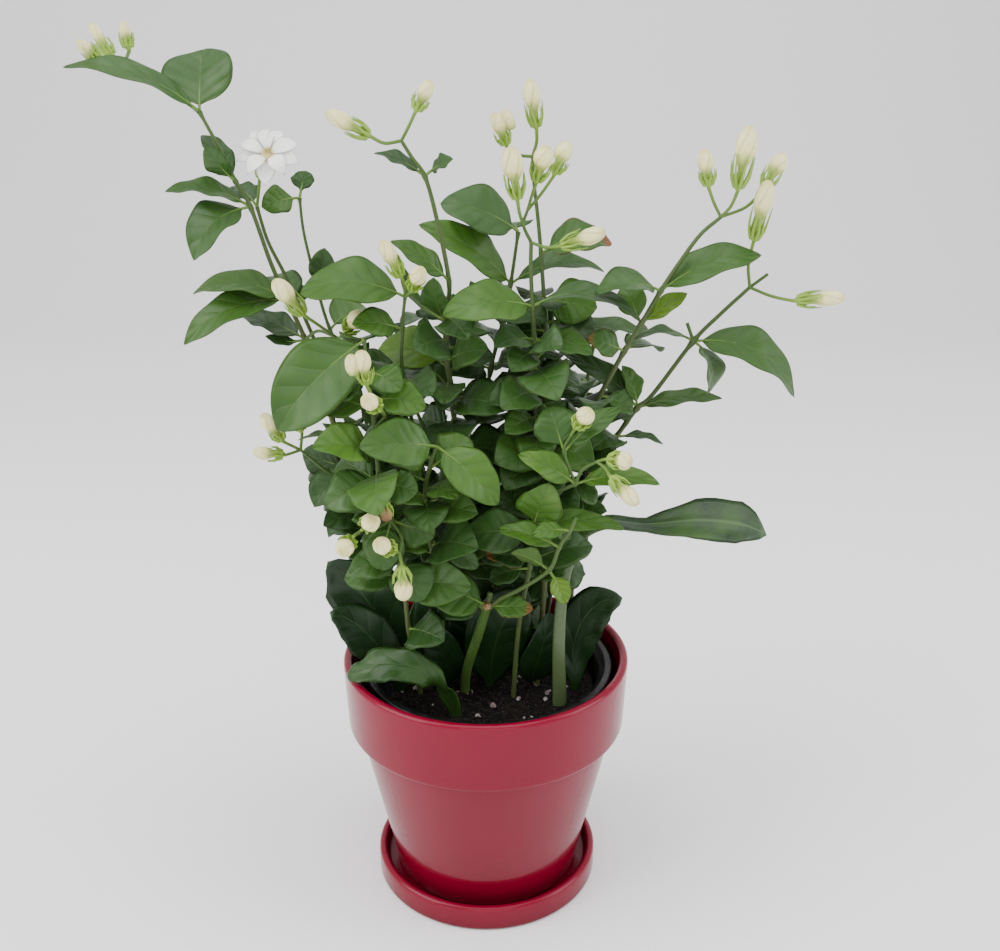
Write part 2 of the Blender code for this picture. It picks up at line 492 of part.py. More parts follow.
# The open flower: its stalk, where its calyx ends and its face begins, where it looks, and its petals
FLOWER_SHOOT = "shoot_left_flower"
FLOWER_STALK = [(-120, 24, 396), (-118, 23, 406), (-117, 21, 411)]
FLOWER_TO = (7, -9, 12)
FLOWER_LOOKS = (1, -8, 6)
FLOWER_RADIUS = 18.5
PETALS_IN_LAYER = 5
PETAL_WIDTH = 10.5
PETAL_THICKNESS = 0.8
PETAL_TILT = math.radians(6)
PETAL_ROOT = 2.6
INNER_SHARE = 0.92
INNER_LIFT = 2.2


# Solids, put together ring by ring


def unit(values):
    return Vector(values).normalized()


def across(direction):
    """Two unit vectors square to a direction and to each other."""
    helper = Vector((0, 0, 1)) if abs(direction.z) < 0.9 else Vector((1, 0, 0))
    first = direction.cross(helper).normalized()
    return first, direction.cross(first).normalized()


class Solid:
    """The points and faces of one closed body."""

    def __init__(self):
        self.points = []
        self.faces = []

    def add(self, points):
        """Adds points and gives their numbers."""
        start = len(self.points)
        self.points += points
        return list(range(start, len(self.points)))

    def circle(self, centre, side, other, radius, sides, turn=0.0, dent=1.0):
        """Adds a ring of points round a centre, every second one drawn in by the dent."""
        ring = []
        for k in range(sides):
            angle = 2 * math.pi * k / sides + turn
            reach = radius * (dent if k % 2 else 1.0)
            ring.append(centre + side * reach * math.cos(angle) + other * reach * math.sin(angle))
        return self.add(ring)

    def split(self, a, b, c, d):
        """Adds a bent quad as the two triangles on either side of its first corner's diagonal."""
        self.faces += [(a, b, c), (a, c, d)]

    def bridge(self, first, second):
        """Closes the band between two rings of equal length."""
        for k in range(len(first)):
            after = (k + 1) % len(first)
            self.faces.append((first[k], first[after], second[after], second[k]))

    def cap(self, ring, flip=False):
        self.faces.append(tuple(ring[::-1] if flip else ring))

    def outward(self):
        """Drops faces that shrank to a line, and turns the rest outwards where the body is inside out."""
        self.faces = [tuple(dict.fromkeys(face)) for face in self.faces]
        self.faces = [face for face in self.faces if len(face) > 2]
        volume = 0.0
        for face in self.faces:
            corners = [self.points[k] for k in face]
            for b, c in zip(corners[1:], corners[2:]):
                volume += corners[0].dot(b.cross(c))
        if volume < 0:
            self.faces = [face[::-1] for face in self.faces]
        return self


def frames(route):
    """Each route point with two directions across the route, which turn as little as they can."""
    route = [Vector(p) for p in route]
    last = len(route) - 1
    side = across((route[1] - route[0]).normalized())[0]
    for i, place in enumerate(route):
        ahead = (route[min(i + 1, last)] - route[max(i - 1, 0)]).normalized()
        side = (side - ahead * side.dot(ahead)).normalized()
        yield place, side, ahead.cross(side)


def tube(route, foot, top, sides, grow=0.0):
    """A tapered round stem along a route."""
    solid = Solid()
    ring = None
    for i, (place, side, other) in enumerate(frames(route)):
        radius = foot + (top - foot) * i / (len(route) - 1) + grow
        circle = solid.circle(place, side, other, radius, sides)
        if ring:
            solid.bridge(ring, circle)
        else:
            solid.cap(circle, True)
        ring = circle
    solid.cap(ring)
    return solid.outward()


def spindle(base, axis, outline, sides, twist=0.0, dent=1.0, apex=None):
    """A turned shape from (distance, radius) pairs along an axis, flat at its end or with a pointed apex."""
    solid = Solid()
    side, other = across(axis)
    ring = None
    for i, (along, radius) in enumerate(outline):
        circle = solid.circle(base + axis * along, side, other, radius, sides, twist * i, dent)
        if ring:
            solid.bridge(ring, circle)
        else:
            solid.cap(circle, True)
        ring = circle
    if apex is None:
        solid.cap(ring)
    else:
        tip = solid.add([base + axis * apex])[0]
        solid.faces += [(ring[k], ring[(k + 1) % sides], tip) for k in range(sides)]
    return solid.outward()


def blade_rows(solid, rows):
    """Closes a blade over rows of left, middle and right (upper, lower) point pairs, split alike on both faces."""
    for (left, mid, right), (far_left, far_mid, far_right) in zip(rows, rows[1:]):
        solid.split(left[0], mid[0], far_mid[0], far_left[0])
        solid.split(right[0], far_right[0], far_mid[0], mid[0])
        solid.split(far_mid[1], mid[1], left[1], far_left[1])
        solid.split(far_mid[1], far_right[1], right[1], mid[1])
        solid.faces.append((left[0], far_left[0], far_left[1], left[1]))
        solid.faces.append((right[0], right[1], far_right[1], far_right[0]))


# Leaves


class Blade:
    """The middle surface of one leaf, from its root in the stem (u = 0) to its tip (u = 1)."""

    def __init__(self, root, leaf, number, turn=Matrix.Identity(3), scale=1.0):
        chance = random.Random(number)
        reach = turn @ Vector(leaf.to) * scale
        faces = turn @ Vector(leaf.faces)
        self.root = Vector(root)
        self.length = reach.length
        self.axis = reach.normalized()
        self.up = (faces - self.axis * faces.dot(self.axis)).normalized()
        self.side = self.axis.cross(self.up)
        self.half_width = leaf.wide * scale / 2
        self.arch = leaf.arch * self.length
        self.stalk = min(leaf.stalk / self.length, 0.4)
        self.fold = LEAF_FOLD * chance.uniform(0.5, 1.4)
        self.twist = math.radians(chance.uniform(-14, 14))
        self.phase = chance.uniform(0, 2 * math.pi)
        self.waves = chance.uniform(1.6, 2.4)
        self.droop = chance.uniform(0.02, 0.09) * self.length

    def width_at(self, t):
        """Half the width of the blade, an oval that is fullest before its middle."""
        if t <= 0:
            return LEAF_STALK_HALF_WIDTH
        return max(LEAF_STALK_HALF_WIDTH, self.half_width * 2.42 * t ** 0.55 * (1 - t) ** 0.75)

    def point(self, u, v, grow=0.0):
        t = min(1.0, max(0.0, (u - self.stalk) / (1 - self.stalk)))
        bow = 4 * u * (1 - u) * self.arch - self.droop * t ** 3
        turn = self.twist * t
        side = self.side * math.cos(turn) + self.up * math.sin(turn)
        up = self.up * math.cos(turn) - self.side * math.sin(turn)
        half = self.width_at(t) + grow
        lift = half * abs(v) * math.sin(self.fold) * min(1.0, 3 * t)
        ripple = math.sin(2 * math.pi * self.waves * t + self.phase + (1.7 if v > 0 else 0.0))
        lift += LEAF_WAVE * ripple * v * v * min(1.0, half / 6) * min(1.0, 4 * t)
        return self.root + self.axis * self.length * u + self.up * bow + side * half * v + up * lift

    def normal(self, u, v):
        along = self.point(u + 0.02, v) - self.point(u - 0.02, v)
        return (self.point(u, v + 0.2) - self.point(u, v - 0.2)).cross(along).normalized()


def leaf_solid(blade, grow=0.0, start=0.0):
    """A leaf as one closed solid: its stalk as a slim bar, then its blade in rows, up to its tip."""
    solid = Solid()
    neck = max(blade.stalk, start + 0.03)
    bars = []
    for u in (start, neck):
        left, middle, right = (blade.point(u, v, grow) for v in (-1, 0, 1))
        under = middle - blade.normal(u, 0) * (LEAF_STALK_THICKNESS + grow)
        bars.append(solid.add([left, right, under]))
    solid.cap(bars[0], True)
    solid.bridge(*bars)
    left, right, under = bars[1]
    rows = [((left, left), (left, under), (right, right))]
    stops = next(stops for least, stops in LEAF_ROWS.items() if blade.length > least)
    for u in (blade.stalk + (1 - blade.stalk) * t for t in stops):
        if u > neck + 0.02:
            rows.append([])
            for v in (-1, 0, 1):
                place = blade.point(u, v, grow)
                lift = blade.normal(u, v) * (BLADE_THICKNESS / 2 + grow)
                rows[-1].append(solid.add([place + lift, place - lift]))
    tip = blade.point(1.0, 0.0) + blade.axis * grow
    lift = blade.normal(0.97, 0) * (BLADE_THICKNESS / 2 + grow)
    ends = solid.add([tip + lift, tip - lift])
    rows.append((ends, ends, ends))
    blade_rows(solid, rows)
    return solid.outward()


class Crowd:
    """Everything placed so far, with its owner, against which a new leaf is tested."""

    def __init__(self):
        self.placed = []

    def add(self, solid, owner=""):
        centre = sum(solid.points, Vector()) / len(solid.points)
        radius = max((p - centre).length for p in solid.points)
        self.placed.append((BVHTree.FromPolygons(solid.points, solid.faces), centre, radius, owner))

    def clear(self, solid, own=None):
        """Whether a solid is clear of all that is placed, leaving out what one owner placed."""
        centre = sum(solid.points, Vector()) / len(solid.points)
        radius = max((p - centre).length for p in solid.points)
        tree = BVHTree.FromPolygons(solid.points, solid.faces)
        for other, middle, reach, owner in self.placed:
            if owner != own and (middle - centre).length < reach + radius and tree.overlap(other):
                return False
        return True


def small_turns():
    """Turns of a leaf about its root, from none to large, then a smaller leaf where no turn helps."""
    for scale in (1.0, 0.9, 0.8, 0.7, 0.6, 0.5):
        yield 0.0, 0.0, scale
        for angle in (6, 12, 18, 25, 33):
            for yaw, pitch in ((0, 1), (0, -1), (1, 0), (-1, 0), (1, 1), (-1, 1), (1, -1), (-1, -1)):
                yield math.radians(yaw * angle), math.radians(pitch * angle), scale


def settle(root, leaf, number, crowd, owner):
    """The leaf as planned, or turned and shortened a little until it is clear of all that is placed."""
    sideways = Vector(leaf.to).cross(Vector((0, 0, 1)))
    sideways = sideways.normalized() if sideways.length > 1 else Vector((1, 0, 0))
    for yaw, pitch, scale in small_turns():
        turn = Matrix.Rotation(yaw, 3, "Z") @ Matrix.Rotation(pitch, 3, sideways)
        blade = Blade(root, leaf, number, turn, scale)
        whole = leaf_solid(blade, CLEARANCE)
        free = leaf_solid(blade, CLEARANCE, min(0.45, FREE_OF_STEM / blade.length))
        if crowd.clear(free) and crowd.clear(whole, owner):
            crowd.add(whole, owner)
            return blade
    return None


# Buds, calyces and the flower


def bud_outline(length, wide):
    """A closed bud from its tube in the cup to the shoulder below its tip."""
    neck = max(CUP_HEIGHT + GAP + 1.5, 0.36 * length)
    return [(CUP_HEIGHT + GAP, TUBE_RADIUS), (neck, TUBE_RADIUS + 0.2),
            (0.6 * length, 0.5 * wide), (0.89 * length, 0.35 * wide)]


def corolla(bud):
    """The closed bud, with its second lobe where two buds grew into each other."""
    base = Vector(bud.stalk[-1])
    axis = unit(bud.to)
    length = Vector(bud.to).length
    outline = bud_outline(length, bud.wide)
    solids = [spindle(base, axis, outline, BUD_SIDES, BUD_TWIST, BUD_DENT, length)]
    if bud.twin:
        lobe = [(0.5 * length, 0.24 * bud.wide)] + [(along, 0.85 * radius) for along, radius in outline[2:]]
        solids.append(spindle(base + Vector(bud.twin), axis, lobe, BUD_SIDES, BUD_TWIST, BUD_DENT, 0.96 * length))
    return solids


def spike_tip(length, wide):
    """How far a calyx spike's tip lies along the bud and out from its axis."""
    return max(0.42 * length, CUP_HEIGHT + 4), 0.28 * wide + 2.0


def calyx(stalk, to, wide):
    """A flower stalk that widens into the green cup, with a spike from each side of the cup's rim."""
    base = Vector(stalk[-1])
    axis = unit(to)
    along, reach = spike_tip(Vector(to).length, wide)
    route = [Vector(p) for p in stalk] + [base + axis * 0.45 * CUP_HEIGHT, base + axis * CUP_HEIGHT]
    radii = [FLOWER_STALK_RADIUS] * len(stalk) + [0.9 * CUP_RADIUS, CUP_RADIUS]
    solid = Solid()
    rings = []
    for (place, side, other), radius in zip(frames(route), radii):
        rings.append(solid.circle(place, side, other, radius, SEPALS))
    solid.cap(rings[0], True)
    for first, second in zip(rings, rings[1:-1]):
        solid.bridge(first, second)
    low, high = rings[-2:]
    for k in range(SEPALS):
        after = (k + 1) % SEPALS
        middle = (solid.points[high[k]] + solid.points[high[after]]) / 2
        out = (middle - route[-1]).normalized()
        tip = solid.add([base + axis * along + out * reach])[0]
        corners = [low[k], low[after], high[after], high[k]]
        for a, b in zip(corners, corners[1:] + corners[:1]):
            solid.faces.append((a, b, tip))
    solid.cap(high)
    return solid.outward()


def petal(centre, looks, angle, reach, wide, lift):
    """One petal as a closed blade that starts in the throat, with one edge over the next petal's."""
    first, second = across(looks)
    out = first * math.cos(angle) + second * math.sin(angle)
    side = looks.cross(out)
    tilt = math.sin(PETAL_TILT)
    solid = Solid()
    rows = []
    for r, half in ((PETAL_ROOT, 0.8), (0.4 * reach, 0.4 * wide), (0.74 * reach, 0.5 * wide),
                    (reach, 0.22 * wide)):
        u = r / reach
        rise = lift + 2.6 * math.sin(0.8 * math.pi * u) - 1.4 * u * u
        rows.append([])
        for v in (-1, 0, 1):
            height = rise + half * (tilt * v + 0.12 * v * v)
            place = centre + out * r + side * half * v + looks * height
            thick = looks * PETAL_THICKNESS / 2
            rows[-1].append(solid.add([place + thick, place - thick]))
    blade_rows(solid, rows)
    for row, flip in ((rows[0], False), (rows[-1], True)):
        left, mid, right = row
        solid.cap([left[0], left[1], mid[1], right[1], right[0], mid[0]], flip)
    return solid.outward()


def open_flower():
    """The open flower: its tube, the throat, two layers of petals and the eye."""
    base = Vector(FLOWER_STALK[-1])
    axis = unit(FLOWER_TO)
    length = Vector(FLOWER_TO).length
    looks = unit(FLOWER_LOOKS)
    centre = base + Vector(FLOWER_TO)
    outline = [(-1.5, 1.6), (0.1, PETAL_ROOT + 0.8), (4.0, PETAL_ROOT + 1.0)]
    solids = [tube([base + axis * (CUP_HEIGHT + GAP), centre], TUBE_RADIUS, 1.5, 5),
              spindle(centre, looks, outline, 2 * PETALS_IN_LAYER)]
    for share, lift, turn in ((1.0, 0.0, 0.25), (INNER_SHARE, INNER_LIFT, 0.75)):
        for k in range(PETALS_IN_LAYER):
            angle = 2 * math.pi * (k + turn) / PETALS_IN_LAYER
            solids.append(petal(centre, looks, angle, share * FLOWER_RADIUS, share * PETAL_WIDTH, lift))
    return solids


# Objects


def material(name, colour, roughness, coat=0.0):
    made = bpy.data.materials.new(name)
    made.use_nodes = True
    shader = made.node_tree.nodes["Principled BSDF"]
    shader.inputs["Base Color"].default_value = (*colour, 1.0)
    shader.inputs["Roughness"].default_value = roughness
    shader.inputs["Metallic"].default_value = 0.0
    shader.inputs["Coat Weight"].default_value = coat
    return made


def mesh_object(name, solid, finish=None, collection=None):
    mesh = bpy.data.meshes.new(name)
    mesh.from_pydata([p * MM for p in solid.points], [], solid.faces)
    if finish:
        mesh.materials.append(finish)
    made = bpy.data.objects.new(name, mesh)
    (collection or bpy.context.scene.collection).objects.link(made)
    return made


def closed(mesh):
    """Whether each edge of a mesh lies between exactly two faces."""
    uses = [0] * len(mesh.edges)
    for loop in mesh.loops:
        uses[loop.edge_index] += 1
    return all(count == 2 for count in uses)


def keep_largest_body(mesh):
    """Removes loose scraps and sealed hollows, which a union can leave where thin stalks meet."""
    bm = bmesh.new()
    bm.from_mesh(mesh)
    waiting = set(bm.verts)
    bodies = []
    while waiting:
        body = {waiting.pop()}
        edge = set(body)
        while edge:
            edge = {e.other_vert(v) for v in edge for e in v.link_edges} - body
            body |= edge
        waiting -= body
        bodies.append(body)
    bodies.sort(key=len)
    for scrap in bodies[:-1]:
        bmesh.ops.delete(bm, geom=list(scrap), context="VERTS")
    bm.to_mesh(mesh)
    bm.free()


def combine(target, operation, solids):
    """Joins solids to the target, or cuts them from it, in one Boolean on a collection."""
    others = bpy.data.collections.new("boolean_operands")
    bpy.context.scene.collection.children.link(others)
    for solid in solids:
        mesh_object("boolean_operand", solid, None, others)
    boolean = target.modifiers.new("boolean", "BOOLEAN")
    boolean.operation = operation
    boolean.operand_type = "COLLECTION"
    boolean.collection = others
    for solver in ("EXACT", "MANIFOLD"):
        boolean.solver = solver
        graph = bpy.context.evaluated_depsgraph_get()
        joined = bpy.data.meshes.new_from_object(target.evaluated_get(graph))
        if closed(joined):
            break
    keep_largest_body(joined)
    finish = target.data.materials[0]
    target.modifiers.clear()
    target.data = joined
    joined.materials.clear()
    joined.materials.append(finish)
    for other in list(others.objects):
        bpy.data.objects.remove(other)
    bpy.data.collections.remove(others)


def fused(name, solids, finish):
    """All solids of one piece, grown together."""
    piece = mesh_object(name, solids[0], finish)
    if len(solids) > 1:
        combine(piece, "UNION", solids[1:])
    return piece


def arc(centre, radius, start, end, steps):
    """Points on part of a circle in a (radius, height) outline, angles in degrees."""
    points = []
    for k in range(steps + 1):
        angle = math.radians(start + (end - start) * k / steps)
        points.append((centre[0] + radius * math.cos(angle), centre[1] + radius * math.sin(angle)))
    return points


def turned(name, outline, finish, segments=24, centre_x=0.0):
    """A turned solid from an outline of (radius, height) points, open in the middle where none is on the axis."""
    bm = bmesh.new()
    corners = [bm.verts.new((r * MM, 0, z * MM)) for r, z in outline]
    pairs = list(zip(corners, corners[1:]))
    if outline[0][0] > 0:
        pairs.append((corners[-1], corners[0]))
    edges = [bm.edges.new(pair) for pair in pairs]
    bmesh.ops.spin(bm, geom=corners + edges, cent=(0, 0, 0), axis=(0, 0, 1), angle=2 * math.pi,
                   steps=segments, use_merge=True)
    bmesh.ops.remove_doubles(bm, verts=bm.verts, dist=1e-6)
    bmesh.ops.recalc_face_normals(bm, faces=bm.faces)
    bmesh.ops.translate(bm, verts=bm.verts, vec=(centre_x * MM, 0, 0))
    mesh = bpy.data.meshes.new(name)
    bm.to_mesh(mesh)
    bm.free()
    mesh.shade_smooth()
    mesh.set_sharp_from_angle(angle=math.radians(40))
    mesh.materials.append(finish)
    made = bpy.data.objects.new(name, mesh)
    bpy.context.scene.collection.objects.link(made)
    return made


# The pottery


def make_saucer(finish):
    lip = 2.4
    outline = [(0, 0), (SAUCER_RADIUS - 1.6, 0), (SAUCER_RADIUS, 2.4)]
    outline += arc((SAUCER_RADIUS - lip, SAUCER_HEIGHT - lip), lip, 0, 180, 3)
    outline += [(58.5, SAUCER_FLOOR), (0, SAUCER_FLOOR)]
    return turned("saucer", outline, finish)


def make_pot(finish):
    foot = SAUCER_FLOOR + GAP
    lip = POT_WALL / 2
    inner_foot = BODY_FOOT_RADIUS - POT_WALL
    outline = [(DRAIN_RADIUS, foot), (BODY_FOOT_RADIUS - 2.5, foot), (BODY_FOOT_RADIUS, foot + 2.5),
               (BODY_TOP_RADIUS, BAND_BOTTOM - 2), (BAND_BOTTOM_RADIUS - 2, BAND_BOTTOM - 0.6),
               (BAND_BOTTOM_RADIUS, BAND_BOTTOM + 1.8)]
    outline += arc((POT_RIM_RADIUS - lip, POT_TOP - lip), lip, -10, 180, 3)
    outline += [(BAND_BOTTOM_RADIUS - POT_WALL - 1, BAND_BOTTOM + 4),
                (BODY_TOP_RADIUS - POT_WALL - 1, BAND_BOTTOM - 6),
                (inner_foot + 1.5, foot + POT_FLOOR + 3), (inner_foot - 2, foot + POT_FLOOR),
                (DRAIN_RADIUS, foot + POT_FLOOR)]
    return turned("pot", outline, finish)


def grow_pot_foot():
    return SAUCER_FLOOR + GAP + POT_FLOOR + GAP


def grow_pot_radius(height):
    """Outer radius of the grow pot's wall at a height."""
    foot = grow_pot_foot()
    share = (height - foot) / (GROW_POT_TOP - GROW_POT_LIP_HEIGHT - foot)
    return GROW_POT_FOOT_RADIUS + (GROW_POT_NECK_RADIUS - GROW_POT_FOOT_RADIUS) * share


def make_grow_pot(finish):
    foot = grow_pot_foot()
    wall = GROW_POT_WALL
    under = GROW_POT_TOP - GROW_POT_LIP_HEIGHT
    lip = GROW_POT_LIP_RADIUS
    outline = [(6, foot), (GROW_POT_FOOT_RADIUS, foot), (GROW_POT_NECK_RADIUS, under + 1),
               (lip - 1.6, under + 1.4), (lip - 2.0, under - 0.4), (lip - 0.7, under - 0.4),
               (lip, under + 4.6), (lip - 1.2, GROW_POT_TOP), (lip - 3.6, GROW_POT_TOP),
               (grow_pot_radius(under) - wall, under + 1),
               (grow_pot_radius(foot + wall) - wall, foot + wall), (6, foot + wall)]
    return turned("grow_pot", outline, finish, segments=GROW_POT_SIDES, centre_x=GROW_POT_X)


def make_soil(finish, holes):
    """Soil with a bumpy top that fills the grow pot, with a plain hole for each stem."""
    chance = random.Random(7)
    floor = grow_pot_foot() + GROW_POT_WALL + GAP
    edge = grow_pot_radius(SOIL_TOP - 1) - GROW_POT_WALL - GAP - 0.4
    shoulder = grow_pot_radius(floor) - GROW_POT_WALL - GAP - 0.4
    outline = [(0, floor), (shoulder, floor), (edge, SOIL_TOP - 1.5)]
    outline += [(0.6 * edge, SOIL_TOP), (0, SOIL_TOP)]
    soil = turned("soil", outline, finish, segments=GROW_POT_SIDES, centre_x=GROW_POT_X)
    for vertex in soil.data.vertices:
        if vertex.co.z > (SOIL_TOP - 1) * MM:
            vertex.co.z += chance.uniform(-1, 1) * SOIL_BUMP * MM
    cutters = []
    for x, y, radius in holes:
        corner = (radius + STEM_HOLE_CLEARANCE) / math.cos(math.pi / STEM_HOLE_SIDES)
        depth = [(x, y, STEM_HOLE_FLOOR), (x, y, SOIL_TOP + 8)]
        cutters.append(tube(depth, corner, corner, STEM_HOLE_SIDES))
    combine(soil, "DIFFERENCE", cutters)
    return soil


# The plant


def rim_guard(low, high, centre_x=0.0):
    """A ring wall between two (height, radius) pairs, which leaves stay clear of."""
    wall = spindle(Vector((centre_x, 0, 0)), Vector((0, 0, 1)), [low, high], 24)
    wall.faces = [face for face in wall.faces if min(face) < 24 <= max(face)]
    return wall


def place_stems(crowd):
    """Puts every stem, bud, rim and the flower where the leaves will be tested against them."""
    for shoot in SHOOTS:
        for stem in shoot.stems:
            crowd.add(tube(stem.route, stem.foot, stem.top, 5, 0.2), shoot.name)
        for bud in shoot.buds:
            base = Vector(bud.stalk[-1])
            axis = unit(bud.to)
            length = Vector(bud.to).length
            along, reach = spike_tip(length, bud.wide)
            swollen = [(-0.5, 1.5), (along, reach + 0.4), (0.75 * length, 0.5 * bud.wide + 0.8),
                       (0.92 * length, 0.3 * bud.wide + 0.6)]
            crowd.add(tube(bud.stalk, 1.0, 1.0, 4), shoot.name)
            crowd.add(spindle(base, axis, swollen, 6, apex=length + 0.6), bud.name)
            if bud.twin:
                crowd.add(spindle(base + Vector(bud.twin), axis, swollen[1:], 6, apex=length), bud.name)
    looks = unit(FLOWER_LOOKS)
    centre = Vector(FLOWER_STALK[-1]) + Vector(FLOWER_TO)
    wheel = [(-3, 5), (-1, FLOWER_RADIUS + 1), (6, FLOWER_RADIUS + 1)]
    crowd.add(tube(FLOWER_STALK, 1.0, 1.0, 4), FLOWER_SHOOT)
    crowd.add(tube([FLOWER_STALK[-1], centre], 4.0, 4.0, 6), "flower")
    crowd.add(spindle(centre, looks, wheel, 12), "flower")
    crowd.add(rim_guard((BAND_BOTTOM, BAND_BOTTOM_RADIUS + 1.5), (POT_TOP + 0.4, POT_RIM_RADIUS + 0.5)))
    crowd.add(rim_guard((SOIL_TOP, GROW_POT_NECK_RADIUS - 2.5), (GROW_POT_TOP + 0.4, GROW_POT_LIP_RADIUS - 4),
                        GROW_POT_X))


def basal_solid(basal, grow=0.0):
    """A leaf that rises from the soil on its own thick stalk, in rows along its route."""
    route = [Vector(p) for p in basal.route]
    last = len(route) - 1
    solid = Solid()
    rows = []
    for i, place in enumerate(route):
        along = (route[min(i + 1, last)] - route[max(i - 1, 0)]).normalized()
        up = Vector(basal.faces[i])
        up = (up - along * up.dot(along)).normalized()
        side = along.cross(up)
        half = basal.wide[i] / 2
        cup = BASAL_CUP * half if half > 5 else 0.0
        thick = up * (BASAL_STALK_THICKNESS if half < 5 and i < last else BASAL_THICKNESS) / 2 + up * grow
        rows.append([])
        for v in (-1, 0, 1):
            middle = place + side * (half + grow) * v + up * cup * abs(v)
            rows[-1].append(solid.add([middle + thick, middle - thick]))
    blade_rows(solid, rows)
    for row, flip in ((rows[0], False), (rows[-1], True)):
        left, mid, right = row
        solid.cap([left[0], left[1], mid[1], right[1], right[0], mid[0]], flip)
    return solid.outward()


def leaf_root(shoot, leaf):
    """The place on its stem where a leaf grows."""
    stem, position = leaf.at
    route = shoot.stems[stem].route
    before = min(int(position), len(route) - 2)
    return Vector(route[before]).lerp(Vector(route[before + 1]), position - before)


def shoot_solids(shoot, crowd, first_number):
    """The stems, calyces and settled leaves of one shoot."""
    solids = [tube(s.route, s.foot, s.top, 4 if s.foot < 2 else 6) for s in shoot.stems]
    solids += [calyx(bud.stalk, bud.to, bud.wide) for bud in shoot.buds]
    if shoot.name == FLOWER_SHOOT:
        solids.append(calyx(FLOWER_STALK, FLOWER_TO, 5))
    for number, leaf in enumerate(shoot.leaves, first_number):
        blade = settle(leaf_root(shoot, leaf), leaf, number, crowd, shoot.name)
        if blade:
            solids.append(leaf_solid(blade))
    return solids


def grow_plant(finishes):
    """Every shoot, bloom and basal leaf as its own object. Gives the holes that the soil needs."""
    crowd = Crowd()
    place_stems(crowd)
    holes = []
    for basal in BASALS:
        crowd.add(basal_solid(basal, CLEARANCE), basal.name)
        mesh_object(basal.name, basal_solid(basal), finishes["basal"])
        x, y, _ = basal.route[0]
        holes.append((x, y, math.hypot(basal.wide[1], BASAL_STALK_THICKNESS) / 2))
    number = 1
    for shoot in SHOOTS:
        fused(shoot.name, shoot_solids(shoot, crowd, number), finishes["shoot"])
        number += len(shoot.leaves)
        for bud in shoot.buds:
            fused(bud.name, corolla(bud), finishes["dried" if bud.name == "bud_dried" else "bloom"])
        x, y, _ = shoot.stems[0].route[0]
        holes.append((x, y, shoot.stems[0].foot))
    fused("flower_open", open_flower(), finishes["bloom"])
    return holes


def main():
    for old in list(bpy.data.objects):
        bpy.data.objects.remove(old)
    glaze = material("red_glaze", (0.42, 0.012, 0.035), 0.18, 0.6)
    plastic = material("black_plastic", (0.018, 0.019, 0.022), 0.42)
    earth = material("potting_soil", (0.028, 0.02, 0.016), 0.95)
    finishes = {
        "shoot": material("jasmine_green", (0.07, 0.17, 0.03), 0.5),
        "basal": material("basal_green", (0.03, 0.085, 0.022), 0.4),
        "bloom": material("bloom_cream", (0.86, 0.85, 0.68), 0.5),
        "dried": material("dried_bud", (0.5, 0.36, 0.16), 0.7),
    }
    make_saucer(glaze)
    make_pot(glaze)
    make_grow_pot(plastic)
    make_soil(earth, grow_plant(finishes))


main()
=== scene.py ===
"""The looks of a potted arabian jasmine: its red pot and saucer, grow pot, soil, shoots and blooms."""
import math
import random
from collections import namedtuple

import bmesh
import bpy
from mathutils import Matrix, Vector, noise
from mathutils.bvhtree import BVHTree


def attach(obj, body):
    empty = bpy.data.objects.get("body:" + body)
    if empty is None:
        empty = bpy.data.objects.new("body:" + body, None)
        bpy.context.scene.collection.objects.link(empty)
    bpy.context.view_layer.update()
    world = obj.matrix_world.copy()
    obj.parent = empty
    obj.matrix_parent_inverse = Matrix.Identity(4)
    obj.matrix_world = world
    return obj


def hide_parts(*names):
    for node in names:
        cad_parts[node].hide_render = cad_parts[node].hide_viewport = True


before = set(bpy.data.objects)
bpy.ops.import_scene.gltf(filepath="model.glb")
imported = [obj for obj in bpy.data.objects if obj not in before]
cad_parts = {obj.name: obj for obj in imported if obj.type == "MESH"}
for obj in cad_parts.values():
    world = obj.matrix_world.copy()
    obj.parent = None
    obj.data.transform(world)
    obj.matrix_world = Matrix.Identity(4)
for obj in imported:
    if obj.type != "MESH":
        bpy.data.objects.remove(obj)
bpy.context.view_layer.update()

MM = 0.001

# All lengths below are millimetres, except where the camera stands and how far it sees, the lights, the
# sweep and the grains, which are in metres.
# Camera, as the photograph was taken
CAMERA_LENS = 41.4
CAMERA_PLACE = (0.0082, -0.594, 0.4741)
CAMERA_PITCH = 20.35
CAMERA_SENSOR = 36.0
CAMERA_RANGE = (0.02, 20)

# Softboxes: place, width and height, power, colour. All look at the middle of the plant.
LIGHTS_AIM = (0.0, 0.0, 0.25)
LIGHTS = {
    "window_left": ((-1.3, -0.5, 1.1), (1.2, 1.4), 26, (1.0, 0.99, 0.97)),
    "window_right": ((1.4, -0.2, 0.9), (0.9, 1.3), 15, (0.97, 0.98, 1.0)),
    "ceiling": ((0.0, -0.2, 1.9), (1.8, 1.8), 28, (1.0, 1.0, 1.0)),
    "front_fill": ((0.1, -1.9, 0.7), (1.5, 1.0), 8, (1.0, 1.0, 1.0)),
}
ROOM_LIGHT = 0.9

# The paper sweep: how far it reaches, where it starts to bend up, and how far it lies under the saucer
SWEEP_REACH = 3.0
SWEEP_BEND = 1.4
SWEEP_DROP = 0.0004

